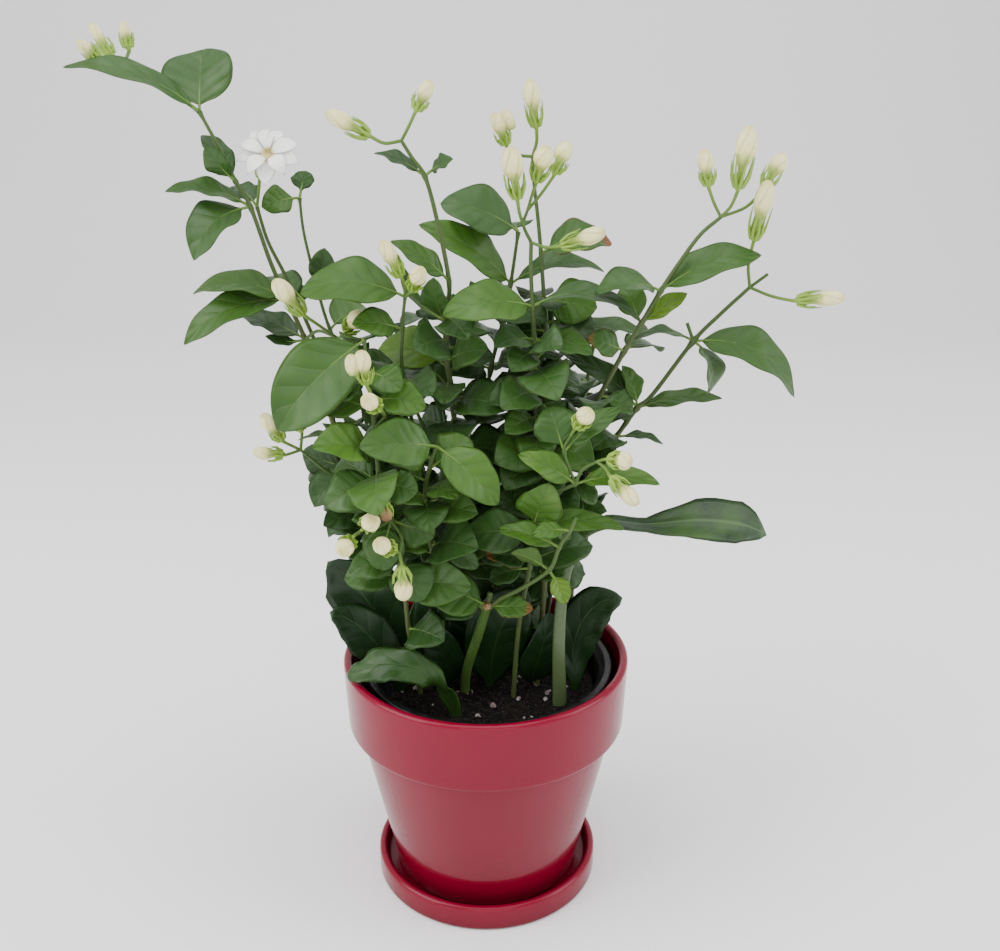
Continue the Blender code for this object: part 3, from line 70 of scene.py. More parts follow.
# Colours, from 0 to 1 where they run through several
LEAF_GREENS = ((0.0, (0.011, 0.034, 0.008)), (0.35, (0.026, 0.073, 0.012)), (0.68, (0.046, 0.118, 0.01)),
               (1.0, (0.115, 0.21, 0.012)))
LEAF_UNDERSIDE = (0.07, 0.13, 0.032)
BASAL_GREENS = ((0.0, (0.004, 0.015, 0.004)), (0.4, (0.009, 0.031, 0.007)), (1.0, (0.05, 0.125, 0.014)))
BASAL_UNDERSIDE = (0.03, 0.075, 0.016)
BASAL_MIDRIB = (0.08, 0.15, 0.05)
BASAL_STALK = ((0.048, 0.082, 0.029), (0.08, 0.12, 0.046))
WITHERED = (0.16, 0.06, 0.02)
BARK = ((0.0, (0.05, 0.11, 0.018)), (0.4, (0.05, 0.085, 0.018)), (0.7, (0.06, 0.062, 0.02)),
        (1.0, (0.085, 0.06, 0.03)))
FRESH_STALK = (0.25, 0.4, 0.055)
BARK_FLECK = (0.14, 0.18, 0.06)
BUD_CREAM = ((0.0, (0.17, 0.31, 0.03)), (0.38, (0.3, 0.42, 0.07)), (0.5, (0.58, 0.62, 0.2)),
             (0.62, (0.87, 0.83, 0.37)), (0.85, (0.91, 0.87, 0.46)), (1.0, (0.82, 0.74, 0.28)))
FLOWER_WHITE = ((0.0, (0.66, 0.58, 0.26)), (0.1, (0.8, 0.74, 0.42)), (0.2, (0.95, 0.95, 0.91)),
                (1.0, (0.97, 0.97, 0.97)))
DRIED_BROWN = ((0.0, (0.3, 0.2, 0.08)), (0.5, (0.46, 0.33, 0.14)), (1.0, (0.2, 0.1, 0.05)))
GLAZE_DEEP = (0.09, 0.0003, 0.006)
GLAZE_PLAIN = (0.16, 0.0004, 0.014)
# The palest glaze red is a painted highlight, laid on towards the top of the pottery.
GLAZE_PAINTED_HIGHLIGHT = (0.21, 0.0015, 0.022)
PLASTIC = ((0.004, 0.0042, 0.005), (0.026, 0.026, 0.03))
SOIL = ((0.3, (0.002, 0.0017, 0.0018)), (0.52, (0.006, 0.0045, 0.004)), (0.75, (0.024, 0.016, 0.012)))
SOIL_FIBRE = (0.05, 0.031, 0.02)
SOIL_SPECK = (0.4, 0.36, 0.32)
PERLITE = ((0.42, 0.39, 0.38), (0.26, 0.18, 0.18))
PERLITE_PIT = (0.12, 0.09, 0.08)
CUT_WOOD = ((0.3, (0.1, 0.055, 0.025)), (0.6, (0.3, 0.2, 0.1)), (0.8, (0.42, 0.32, 0.18)))
PAPER = ((0.88, 0.88, 0.88), (0.92, 0.92, 0.92))

# Fine skins of the leaves. Leaves longer than LARGE_LEAF are quilted between their veins.
LEAF_SKIN = 0.4
LARGE_LEAF = 36
MIDDLING_LEAF = 33
LEAF_VEINS = 5.5
BASAL_VEINS = 7.0
VEIN_SLANT = 1.3
QUILT_DEPTH = 0.3
BASAL_SKIN = 0.6
STEM_SIDES = 8

# Blooms
FINE_SEPALS = 9
BUD_PETALS = 5
BUD_PETAL_STEPS = 6
BUD_RINGS = 22
BUD_NECK = 0.36
BUD_FULLEST = 0.66
BUD_SWIRL = 1.5
BUD_FOLD = 0.055
FLOWER_TUBE_SIDES = 16
FLOWER_TUBE_RADIUS = 1.35
FLOWER_TUBE_FLARE = 2.4
PETAL_START = 2.4
PETAL_SKIN = 0.4
PETAL_ROWS = 12
PETAL_COLUMNS = 9
PETAL_RISE = 3.2
PETAL_FALL = 2.2
PETAL_CURL = 0.22
PETAL_RIPPLE = 0.4
THROAT_LIFT = 2.2
FLOWER_SEED = 31

# Knuckles where leaves grow, the midribs under the leaves, and the cut end of the stump
KNUCKLE_HEIGHT = 0.28
KNUCKLE_REACH = 1.6
STALK_RADIUS = 0.75
RIB_RADII = (0.12, 0.62)
RIB_SINK = 0.15
SCAR_OUTLINE = ((0, -1.5), (2.9, -1.3), (3.3, 0.2), (3.1, 1.5), (2.2, 2.2), (1.2, 1.8), (0, 1.2))
SCAR_ROUGHNESS = 0.35

# Small leaves between the planned ones, turned out round the main stems. Breadths are shares of lengths.
FILLER_STEP = 4.5
FILLER_TRIES = 14
FILLER_CLEARANCE = 0.2
FILLER_LENGTH = (22, 38)
FILLER_BREADTH = (0.68, 0.88)
GOLDEN_TURN = 2.4
BUSH_MIDDLE = 30
BUSH_RIGHT = 60
# Deep leaves that rise from the soil between the stems
INNER_PLACES = 16
INNER_TRIES = 60
INNER_FRONT = -8
INNER_MIDDLE = 18
INNER_REACH = (4, 40)
INNER_LENGTH = (50, 84)
INNER_BREADTH = (0.4, 0.55)
INNER_SEED = 7000

# The soil: how far apart its bumps are, their layer of the noise and their height, then the grains on it
SOIL_BUMPS = ((17, 3.1, 1.5), (4.5, 7.7, 0.9))
SOIL_RINGS = 34
SOIL_CRUMBS = {"Density": 150000.0, "Seed": 4, "Roundness": 1, "Smallest": 0.0004, "Largest": 0.0015,
               "Lumps": 0.0012}
SOIL_PERLITE = {"Density": 5000.0, "Seed": 12, "Roundness": 2, "Smallest": 0.0007, "Largest": 0.0021,
                "Lumps": 0.0016}

# How many sides each turned piece has round its axis
TURNED_SIDES = {"saucer_glazed": 128, "pot_glazed": 144, "grow_pot_moulded": 112, "soil_bed": 120,
                "stump_scar": 22}

# How bright a leaf is, and which of them, by their number in the plan: partly its own green and partly
# painted light and shade. The others follow their place, with painted light at the front and high up and
# painted shade inside the bush and low down.
TONES = {
    0.2: (29, 136), 0.3: (3, 30, 73), 0.35: (50, 63, 70, 135), 0.36: (2, 6, 72), 0.4: (1, 86, 118, 134),
    0.42: (5, 123, 130, 132, 133), 0.45: (33, 51, 60, 87, 97, 117, 131), 0.46: (127,),
    0.5: (8, 31, 91, 98, 100, 108, 109, 120, 129), 0.55: (7, 18, 43, 122),
    0.6: (22, 44, 61, 89, 101, 107, 113, 128), 0.62: (49, 71, 112, 121), 0.66: (111, 114), 0.68: (116,),
    0.7: (115,), 0.8: (34,), 0.85: (88, 110),
}
DARKEST_TONE = 0.08
# How much painted light a leaf gets at the front and high up.
FRONT_PAINTED_LIGHT = 0.42
TONE_SPREAD = 0.3
# How far the tip and edge of some leaves are withered
DRY = {60: 1.0, 107: 0.9, 119: 0.7, 41: 0.5, 90: 0.6}
SHOOT_WITH_SCAR = 8

GAP = 0.3

# Driving dimensions of the pottery
SAUCER_RADIUS = 66.3
SAUCER_HEIGHT = 15.0
SAUCER_FLOOR = 6.0
POT_RIM_RADIUS = 82.5
POT_TOP = 145.5
POT_WALL = 5.0
BAND_BOTTOM = 104.5
BAND_BOTTOM_RADIUS = 80.8
BODY_TOP_RADIUS = 74.5
BODY_FOOT_RADIUS = 54.8
POT_FLOOR = 7.0
DRAIN_RADIUS = 7.0

# Driving dimensions of the grow pot and its soil
GROW_POT_X = 1.5
GROW_POT_TOP = 139.0
GROW_POT_LIP_RADIUS = 72.0
GROW_POT_LIP_HEIGHT = 6.0
GROW_POT_NECK_RADIUS = 65.5
GROW_POT_FOOT_RADIUS = 45.0
GROW_POT_WALL = 1.5
GROW_POT_FOOT = SAUCER_FLOOR + GAP + POT_FLOOR + GAP
SOIL_TOP = 125.0
STEM_HOLE_FLOOR = 112.5
STEM_FOOT = STEM_HOLE_FLOOR + GAP
STEM_UPRIGHT_TO = 128
THICK_STEM = 2.5

# Driving dimensions of the plant
BLADE_THICKNESS = 0.7
LEAF_STALK_THICKNESS = 1.5
LEAF_STALK_HALF_WIDTH = 0.8
LEAF_STALK_LENGTH = 5.0
LEAF_WAVE = 0.9
LEAF_FOLD = math.radians(13)
LEAF_TWIST = math.radians(14)
LEAF_OVAL = (2.42, 0.55, 0.75)
LEAF_ROWS = {56: (0.12, 0.34, 0.6, 0.84), 33: (0.16, 0.45, 0.78), 0: (0.26, 0.7)}
BASAL_THICKNESS = 1.0
BASAL_STALK_THICKNESS = 2.6
BASAL_CUP = 0.16
CLEARANCE = 0.45
FREE_OF_STEM = 6.5
SETTLED_SCALES = (1.0, 0.9, 0.8, 0.7, 0.6, 0.5)
SETTLED_ANGLES = (6, 12, 18, 25, 33)
CUP_HEIGHT = 3.0
CUP_RADIUS = 2.5
CUP_PROFILE = ((0.5, 0.72), (0.75, 0.9), (1.0, 0.96), (1.25, 0.9), (1.3, 0.6))
FLOWER_STALK_RADIUS = 0.85

Stem = namedtuple("Stem", "foot top route")
Leaf = namedtuple("Leaf", "at to wide faces arch stalk", defaults=(0.1, LEAF_STALK_LENGTH))
Bud = namedtuple("Bud", "name stalk to wide twin", defaults=(None,))
Shoot = namedtuple("Shoot", "name filled stems leaves buds")
Basal = namedtuple("Basal", "name route wide faces tone slim wave", defaults=(0.3, 1.0, 0.9))

# The plan. A stem has its radius at the foot and at the top, and its route. Leaves stand by the place
# where they grow: (stem number, place along its route, counted in route points). A leaf reaches its first
# point from there, and has its width, where its upper side looks, how far it arches and its stalk's
# length. A bud has its stalk's points, which end at the calyx, how far it reaches from there, its width,
# and where its twin stands if it has one.


def rooted(x, y, *points):
    """A route that rises from its hole in the soil at (x, y) and goes on through more points."""
    return [(x, y, STEM_FOOT), (x, y, STEM_UPRIGHT_TO), *points]


def shoot(name, filled, stems, leaves, buds=()):
    """A shoot from the rows of its leaves and buds. Small leaves fill its main stem between two heights."""
    leaves = [Leaf(at, *leaf) for at, group in leaves.items() for leaf in group]
    buds = [Bud("bud_" + bud[0], *bud[1:]) for bud in buds]
    return Shoot("shoot_" + name, filled, stems, leaves, buds)


SHOOTS = [
    shoot("left_tall", (190, 262), [
        Stem(1.9, 0.9, rooted(-49, 18, (-48, 18, 173), (-52, 18, 197), (-64, 18, 226), (-78, 17, 252),
            (-85, 16, 281), (-91, 15, 307), (-97, 14, 327), (-105, 12, 349), (-112, 10, 369),
            (-120, 8, 398), (-126, 5, 411), (-131, 4, 424), (-140, 0, 445))),
        Stem(0.9, 0.8, [(-140, 0, 445), (-159, 10, 456), (-179, 14, 467)]),
        Stem(1.0, 0.8, [(-97, 14, 327), (-88, 4, 334), (-77, -4, 332)]),
        Stem(1.0, 0.8, [(-78, 17, 252), (-86, 4, 254), (-100, -4, 270)]),
    ], {
        (0, 14): [((-61, -8, 24), 20, (0, -3, 9), 0.11), ((-3, 30, 28), 37, (0, -6, 6), 0.03)],
        (0, 12): [((-13, 12, 30), 13, (6, -8, 0), 0.08), ((-12, -8, 18), 14, (-5, -8, 2), 0.05)],
        (0, 11): [((-41, -6, 11), 17, (0, -3, 9)), ((-29, -12, -25), 29, (-4, -6, 6), 0.2)],
        (0, 9): [((-49, -4, 6), 24, (0, -4, 9), 0.16), ((-54, -14, -20), 22, (-2, -5, 8), 0.15)],
        (0, 8): [((-35, 12, 10), 18, (0, -4, 9), 0.08), ((-16, -6, 13), 7, (3, -5, 7), -0.2)],
        (0, 6): [((-22, 30, 6), 24, (-1, 2, 9), 0.12)],
        (0, 5): [((-18, -14, -18), 22, (-4, -7, 5)), ((-25, 0, 13), 20, (-2, -9, 3), 0.05)],
        (0, 4): [((-25, -26, 2), 22, (-1, -7, 7), 0.08), ((24, 22, 4), 24, (0, 1, 9))],
        (0, 3): [((-28, -14, 8), 26, (-1, -5, 8)), ((26, -18, 2), 26, (0, -5, 8))],
    }, [
        ("far_left_upper", [(-179, 14, 467), (-184, 14, 470)], (-11, 4, 16), 5.5),
        ("far_left_lower", [(-179, 14, 467), (-187, 5, 468)], (-9, -6, 10), 5.5),
        ("far_left_single", [(-179, 14, 467), (-177, 18, 473)], (-2, 2, 14), 5),
        ("left_upper", [(-77, -4, 332), (-86, -8, 340), (-92, -10, 345)], (-14, -6, 20), 9.5),
        ("left_upper_right", [(-77, -4, 332), (-74, -8, 334), (-72, -9, 336)], (10, -9, 12), 10),
        ("left_lower_curved", [(-100, -4, 270), (-104, -6, 273), (-108, -8, 276)], (-10, -4, 17), 8),
        ("left_lower_flat", [(-100, -4, 270), (-107, -9, 269)], (-17, -4, 3), 7),
        ("left_lower_small", [(-100, -4, 270), (-100, 3, 277)], (-3, 3, 11), 6),
    ]),
    shoot("left_flower", (190, 275), [
        Stem(1.6, 1.0, rooted(-45, 27, (-54, 28, 160), (-61, 30, 192), (-67, 33, 220), (-73, 34, 245),
            (-80, 34, 275), (-88, 33, 302), (-96, 32, 325), (-103, 30, 345), (-109, 28, 361),
            (-116, 26, 378), (-120, 24, 396))),
        Stem(1.1, 0.8, [(-61, 30, 192), (-62, 41, 225), (-73, 45, 284), (-88, 45, 325), (-94, 46, 348),
            (-97, 46, 363), (-100, 46, 381), (-101, 46, 398)]),
    ], {
        (1, 7): [((-19, -10, -3), 18, (0, -8, 6), 0.08), ((3, 8, 14), 13, (0, -8, 4), 0.05)],
        (1, 4): [((-7, 4, 22), 15, (-3, -9, 0), 0.08), ((-16, -8, -4), 14, (0, -6, 8), 0.08)],
        (1, 3): [((20, 26, 6), 26, (1, -2, 9), 0.15)],
        (1, 2): [((-22, 26, -4), 26, (-1, 1, 9), 0.14)],
        (0, 12): [((-14, 14, 10), 15, (-4, 3, 8), 0.08)],
        (0, 9): [((-18, 24, 8), 20, (-2, 2, 9))],
        (0, 7): [((-28, 24, -4), 25, (-1, 1, 9), 0.12)],
        (0, 5): [((-24, 26, -2), 26, (-1, 1, 9), 0.12)],
        (0, 3): [((-20, 28, 2), 26, (1, 1, 9), 0.12)],
    }),
    shoot("left_centre", (190, 345), [
        Stem(1.7, 0.9, rooted(-18, 10, (-18, 12, 172), (-17, 8, 236), (-17, 2, 294), (-20, -1, 319),
            (-20, -3, 341), (-18, -5, 362), (-24, -8, 396), (-29, -9, 415), (-35, -10, 424),
            (-40, -10, 432))),
        Stem(1.1, 0.8, [(-17, 8, 236), (-30, -4, 276), (-42, -12, 312), (-42, -14, 339), (-40, -15, 356)]),
    ], {
        (0, 9): [((-25, 4, 12), 13, (0, -3, 9), 0.06), ((14, -4, 9), 13, (2, -4, 8), 0.05)],
        (0, 7): [((-26, -6, 25), 14, (4, -7, 6))],
        (0, 6): [((-5, -12, 26), 18, (-5, -8, 0), 0.08), ((-23, 4, 36), 11, (6, -3, 5), -0.2)],
        (0, 5): [((-40, -6, 4), 28, (0, -6, 8)), ((22, -14, 10), 22, (0, -7, 6))],
        (0, 4): [((-24, 22, 0), 27, (0, 1, 9), 0.14), ((27, -20, 5), 28, (0, -5, 8), 0.12)],
        (0, 3.5): [((34, -8, 2), 29, (0, -5, 8), 0.14), ((-34, 6, 6), 29, (0, -4, 9), 0.14)],
        (0, 3): [((-30, -8, 4), 28, (0, -5, 8), 0.12)],
        (0, 2.5): [((26, -16, 4), 27, (0, -5, 8), 0.12), ((-26, 22, 8), 26, (-1, 0, 9), 0.12)],
        (1, 4): [((-53, -2, 5), 33, (0, -5, 9), 0.14)],
        (1, 3): [((-24, -12, 6), 18, (0, -7, 7))],
        (1, 2): [((-34, 4, 8), 20, (0, -5, 8), 0.12), ((16, -22, -2), 24, (0, -6, 7))],
        (1, 1): [((-36, -6, 2), 27, (0, -5, 8), 0.12), ((10, -30, -4), 25, (0, -5, 8), 0.12)],
    }, [
        ("left_centre_side", [(-40, -10, 432), (-48, -12, 431), (-54, -14, 434)], (-21, -6, 12), 8),
        ("left_centre_top", [(-40, -10, 432), (-36, -12, 439), (-33, -12, 445)], (8, 0, 15), 7.5),
        ("mid_left_tall", [(-40, -15, 356), (-40, -18, 363), (-41, -19, 366)], (-9, -5, 20), 8),
        ("mid_left_round", [(-40, -15, 356), (-37, -20, 359), (-36, -23, 361)], (6, -13, 13), 8.5),
    ]),
    shoot("centre", (185, 330), [
        Stem(1.7, 1.0, rooted(30, -4, (34, -1, 203), (32, -1, 240), (30, -2, 269), (27, -3, 298),
            (26, -4, 331), (25, -5, 349), (24, -5, 368), (24, -5, 382))),
        Stem(1.0, 0.8, [(24, -5, 382), (20, -7, 391), (22, -6, 398)]),
    ], {
        (0, 7): [((-47, -18, 2), 27, (0, -6, 7), 0.12), ((56, -6, -4), 20, (0, -2, 10), 0.18)],
        (0, 6): [((30, -12, -4), 20, (1, -5, 8), 0.12), ((-20, -18, 2), 20, (0, -6, 7))],
        (0, 5): [((20, -14, -14), 18, (3, -8, 4)), ((-24, -18, 5), 25, (-2, -7, 6))],
        (0, 4): [((-24, -22, 2), 30, (0, -6, 8), 0.12), ((24, -18, -6), 28, (0, -6, 8), 0.12)],
        (0, 3): [((-26, -14, 2), 26, (0, -6, 7), 0.12), ((18, -26, 6), 24, (0, -6, 7))],
        (0, 2): [((-26, -12, 6), 26, (0, -6, 7))],
    }, [
        ("centre_big", [(20, -7, 391), (18, -10, 397), (17, -12, 403)], (-4, -6, 27), 10.5),
        ("centre_round", [(22, -6, 398), (24, -7, 405), (26, -8, 411)], (5, -5, 19), 10),
        ("centre_right", [(22, -6, 398), (29, -3, 406), (35, 0, 414)], (7, 1, 17), 9),
        ("centre_flat", [(24, -5, 382), (31, -8, 380), (38, -12, 381)], (22, -10, 9), 8.5),
    ]),
    shoot("centre_back", (155, 345), [
        Stem(1.6, 0.9, rooted(34, 28, (40, 22, 194), (40, 20, 231), (37, 20, 268), (35, 20, 303),
            (34, 20, 325), (32, 20, 347), (30, 20, 372), (28, 20, 392), (26, 20, 408), (25, 20, 422))),
    ], {
        (0, 8): [((38, 4, 6), 24, (0, -6, 8), 0.2)],
        (0, 7): [((28, -8, -2), 26, (0, -9, 4)), ((-10, 28, -4), 22, (0, 2, 9), 0.12)],
        (0, 6): [((56, 6, 3), 15, (0, -3, 9), 0.12, 12)],
        (0, 5): [((14, 30, 2), 28, (0, 1, 9), 0.14), ((-26, 20, 0), 26, (0, 1, 9), 0.14)],
        (0, 4): [((30, 14, 6), 26, (1, -1, 9), 0.12), ((-32, 8, 4), 28, (0, -2, 9), 0.12)],
        (0, 3): [((14, 30, 4), 28, (0, 1, 9), 0.12)],
        (0, 2): [((30, -6, 8), 27, (0, -4, 9), 0.12)],
    }, [
        ("centre_top", [(25, 20, 422), (27, 20, 429), (27, 20, 435)], (-4, -2, 25), 8.5),
        ("centre_pair", [(25, 20, 422), (18, 18, 423), (12, 16, 427)], (-7, -4, 17), 7.5, (5, 1, 2)),
    ]),
    shoot("centre_left", (180, 350), [
        Stem(1.6, 0.9, rooted(4, 30, (6, 30, 189), (0, 30, 240), (-1, 30, 276), (3, 30, 306), (10, 30, 334),
            (14, 30, 354), (18, 30, 382))),
    ], {
        (0, 7): [((52, 3, 9), 18, (0, -3, 9), 0.14), ((-45, -22, 37), 24, (5, -6, 6), 0.08)],
        (0, 8): [((-42, -6, 13), 34, (0, -6, 8)), ((-8, 26, -2), 26, (0, 2, 9), 0.15)],
        (0, 6): [((-22, 22, 4), 26, (0, 1, 9), 0.12), ((30, -14, 6), 27, (0, -4, 9), 0.12)],
        (0, 5): [((-34, -10, 6), 28, (0, -5, 8), 0.12), ((34, 6, 6), 28, (0, -2, 9), 0.12)],
        (0, 4): [((16, 30, -2), 28, (0, 1, 9), 0.14), ((-14, -34, 4), 28, (0, -5, 8), 0.12)],
        (0, 3.5): [((-38, -4, 4), 29, (0, -4, 9), 0.14), ((36, -10, 4), 29, (0, -5, 8), 0.14)],
        (0, 2.5): [((-34, -12, 4), 28, (0, -5, 8), 0.12), ((34, -14, 4), 28, (0, -5, 8), 0.12)],
        (0, 1.7): [((-28, -16, 10), 27, (0, -7, 7), 0.12), ((26, -20, 12), 27, (0, -7, 7), 0.12)],
    }),
    shoot("right", (185, 300), [
        Stem(1.8, 1.0, rooted(42, 10, (43, 9, 224), (47, 6, 258), (55, 4, 282), (62, 2, 299), (74, 0, 324),
            (82, -2, 339), (91, -5, 357), (99, -7, 371), (109, -8, 386), (119, -8, 395))),
    ], {
        (0, 8): [((-35, -6, -3), 26, (0, -4, 9), 0.15), ((45, 0, 30), 22, (-4, -5, 7), 0.12)],
        (0, 7): [((23, 0, 17), 11, (-3, -7, 6), 0.05), ((-8, 12, 20), 16, (-2, -8, 3), 0.08)],
        (0, 6): [((-20, -8, 9), 16, (0, -8, 5), 0.08), ((22, 22, 0), 22, (2, 1, 9), 0.12)],
        (0, 5): [((19, 0, -9), 16, (-2, -5, 8))],
        (0, 4): [((-14, -24, 6), 24, (0, -6, 8)), ((28, 12, 2), 22, (1, -3, 9))],
        (0, 3): [((26, -16, 6), 22, (1, -6, 8))],
        (0, 2): [((24, -10, 10), 22, (1, -6, 8))],
    }, [
        ("right_left", [(119, -8, 395), (115, -9, 402), (112, -9, 409)], (-4, -2, 19), 8),
        ("right_tall", [(119, -8, 395), (124, -6, 400), (127, -5, 407)], (4, 0, 32), 10.5),
        ("right_back", [(119, -8, 395), (133, 0, 399), (142, 5, 407)], (11, 8, 17), 9),
    ]),
    shoot("far_right", (185, 290), [
        Stem(1.8, 1.0, rooted(50, 21, (51, 24, 191), (53, 24, 220), (59, 22, 247), (65, 20, 259),
            (73, 18, 270), (84, 15, 288), (92, 14, 296), (112, 10, 327), (125, 8, 342), (139, 5, 357))),
        Stem(0.9, 1.0, [(112, 10, 327), (108, 9, 337)]),
        Stem(0.9, 0.9, [(139, 5, 357), (148, 5, 364)]),
    ], {
        (0, 9): [((57, -8, -26), 30, (1, -5, 8), 0.22), ((8, -12, -26), 24, (7, -5, 3), 0.22),
            ((-33, 4, -6), 13, (0, -2, 10), 0.12)],
        (0, 7): [((45, -6, 10), 15, (0, -3, 9), 0.05), ((-8, 6, 23), 14, (5, -7, 2)),
            ((-36, 8, 34), 17, (5, -6, 6))],
        (0, 6): [((27, -2, -3), 9, (0, -2, 10))],
        (0, 5): [((12, 22, -2), 20, (1, 1, 9))],
        (0, 4): [((8, 30, 4), 26, (0, 1, 9), 0.12)],
        (0, 3): [((14, 28, 2), 26, (0, 1, 9), 0.12)],
    }, [
        ("far_right_upper", [(139, 5, 357), (137, 3, 369), (138, 0, 381)], (4, -6, 32), 9.5),
        ("far_right_flat", [(139, 5, 357), (150, 2, 353), (161, 0, 351)], (25, -6, 3), 8),
    ]),
    shoot("stump", (0, 0), [
        Stem(3.0, 2.8, rooted(-12, -11, (-10, -17, 145), (-4, -24, 168), (1, -30, 189))),
        Stem(1.4, 0.9, [(1, -30, 186), (8, -32, 194), (19, -36, 202), (34, -42, 216), (39, -46, 231),
            (44, -50, 242), (47, -52, 250)]),
        Stem(1.7, 1.5, [(1, -30, 187), (3, -28, 196)]),
        Stem(1.5, 1.3, [(1, -30, 185), (-4, -32, 192)]),
    ], {
        (0, 4): [((25, -4, 3), 14, (0, -7, 7), 0.05), ((-36, -6, 14), 27, (0, -6, 8), 0.12)],
        (1, 3): [((-20, 2, 10), 18, (2, 7, 5), 0.08), ((9, -8, -16), 12, (3, -7, 5))],
        (1, 4): [((-32, 0, 11), 14, (0, -6, 8))],
        (1, 5): [((-19, -8, 2), 11, (0, -6, 8))],
    }),
    shoot("front_right", (205, 250), [
        Stem(1.6, 1.0, rooted(16, -18, (19, -20, 174), (25, -26, 214), (26, -32, 238), (32, -36, 251),
            (39, -38, 259), (47, -40, 264))),
        Stem(0.9, 0.8, [(47, -40, 264), (41, -38, 281), (44, -40, 290)]),
        Stem(0.9, 0.8, [(47, -40, 264), (50, -44, 273), (57, -48, 279)]),
    ], {
        (0, 4): [((47, -10, 3), 15, (0, -5, 8)), ((6, -8, 31), 25, (0, -9, 2), 0.08)],
        (0, 7): [((-29, -4, 18), 15, (3, -8, 5)), ((43, -4, 3), 15, (0, -5, 8), 0.12)],
        (1, 1): [((28, 6, 22), 14, (-5, -6, 5), 0.08), ((-8, 8, 22), 24, (0, -9, 3), 0.08)],
        (0, 3): [((-24, -8, 8), 18, (0, -6, 7))],
    }, [
        ("front_right_upper", [(44, -40, 290), (46, -41, 294)], (7, -6, 12), 9.5),
        ("front_right_round", [(57, -48, 279), (61, -50, 281)], (13, -6, 1), 9.5),
        ("front_right_lower", [(57, -48, 279), (61, -52, 277), (63, -54, 274)], (14, -8, -13), 8),
    ]),
    shoot("front", (215, 282), [
        Stem(1.6, 1.0, rooted(-24, -6, (-25, -18, 188), (-29, -30, 228), (-31, -36, 254), (-28, -40, 272),
            (-24, -42, 285))),
    ], {
        (0, 6): [((-37, -10, 15), 26, (0, -8, 6), 0.12), ((32, -10, -27), 24, (3, -8, 5), 0.12)],
        (0, 5): [((22, 6, 14), 22, (1, -7, 6))],
        (0, 4): [((4, -26, -6), 24, (0, -4, 9))],
        (0, 3): [((-20, -12, -4), 18, (0, -7, 7)), ((26, -8, -12), 13, (1, -7, 6), 0.1, 12)],
        (0, 2): [((20, -18, 2), 25, (0, -6, 7))],
    }),
    shoot("front_left", (205, 330), [
        Stem(1.6, 0.9, rooted(-38, -14, (-42, -30, 175), (-44, -40, 222), (-48, -45, 246), (-53, -47, 268),
            (-55, -42, 295), (-58, -35, 320), (-60, -30, 337))),
        Stem(0.9, 0.8, [(-48, -45, 246), (-57, -53, 244), (-62, -56, 245)]),
        Stem(0.9, 0.8, [(-48, -45, 246), (-42, -54, 240), (-43, -58, 233)]),
        Stem(0.9, 0.8, [(-55, -42, 295), (-49, -46, 302)]),
    ], {
        (0, 8): [((-45, -12, -43), 40, (-3, -8, 4), 0.12), ((-8, 24, 6), 20, (0, 1, 9))],
        (0, 6): [((26, -8, -16), 24, (3, -7, 5))],
        (0, 5): [((-27, -10, -9), 24, (0, -8, 6)), ((20, -8, 0), 20, (0, -9, 4))],
        (0, 4): [((-8, -14, -22), 22, (-1, -9, 3)), ((23, -2, -8), 20, (1, -9, 3), 0.08)],
        (0, 3): [((-26, -12, -2), 20, (0, -7, 6)), ((14, -20, -10), 25, (0, -6, 7))],
        (0, 2): [((22, -18, 4), 26, (0, -6, 7))],
    }, [
        ("front_left_upper", [(-62, -56, 245), (-60, -58, 248)], (6, -14, 9), 9.5),
        ("front_left_lower", [(-62, -56, 245), (-67, -59, 242)], (-3, -16, -1), 9.5),
        ("front_left_right", [(-43, -58, 233), (-45, -61, 236)], (-8, -12, 9), 9),
        ("front_left_hanging", [(-43, -58, 233), (-42, -60, 228)], (1, -4, -19), 9.5),
        ("mid_pair", [(-49, -46, 302), (-54, -49, 312), (-57, -50, 319)], (-2, -4, 19), 8.5, (-5, -1, -1)),
        ("mid_round", [(-49, -46, 302), (-50, -52, 307), (-51, -55, 309)], (-5, -13, 9), 8.5),
        ("dried", [(-53, -47, 268), (-51, -55, 264), (-50, -58, 262)], (2, -8, -8), 6.5),
    ]),
    shoot("back_left", (150, 315), [
        Stem(1.6, 0.9, rooted(-22, 48, (-32, 60, 200), (-42, 66, 245), (-48, 70, 285), (-53, 73, 318))),
    ], {
        (0, 5): [((-34, 18, 4), 26, (-1, 2, 9), 0.14), ((28, 22, 2), 26, (1, 2, 9), 0.14)],
        (0, 4): [((-16, 34, 4), 28, (0, 3, 9), 0.14), ((-28, -12, 10), 24, (-1, 0, 9), 0.12)],
        (0, 3): [((26, 26, -2), 28, (1, 2, 9), 0.14), ((-30, 20, -4), 28, (-1, 2, 9), 0.14)],
        (0, 2): [((-6, 36, 2), 28, (0, 3, 9), 0.12), ((34, -8, 4), 29, (0, -4, 9), 0.12)],
        (0, 1.5): [((-30, -10, 10), 28, (0, -5, 8), 0.12)],
    }),
    shoot("back_right", (150, 310), [
        Stem(1.6, 0.9, rooted(22, 50, (38, 58, 200), (50, 62, 240), (58, 66, 280), (64, 70, 312))),
    ], {
        (0, 5): [((34, 20, 2), 26, (1, 2, 9), 0.14), ((-30, 22, 4), 26, (-1, 2, 9), 0.14)],
        (0, 4): [((14, 36, 2), 28, (0, 3, 9), 0.14), ((28, -8, 10), 24, (1, 0, 9), 0.12)],
        (0, 3): [((-26, 26, 0), 28, (-1, 2, 9), 0.14), ((28, 22, -2), 28, (1, 2, 9), 0.14)],
        (0, 2): [((4, 38, 2), 28, (0, 3, 9), 0.12), ((-34, -10, 4), 29, (0, -4, 9), 0.12)],
        (0, 1.5): [((30, -10, 10), 28, (0, -5, 8), 0.12)],
    }),
]

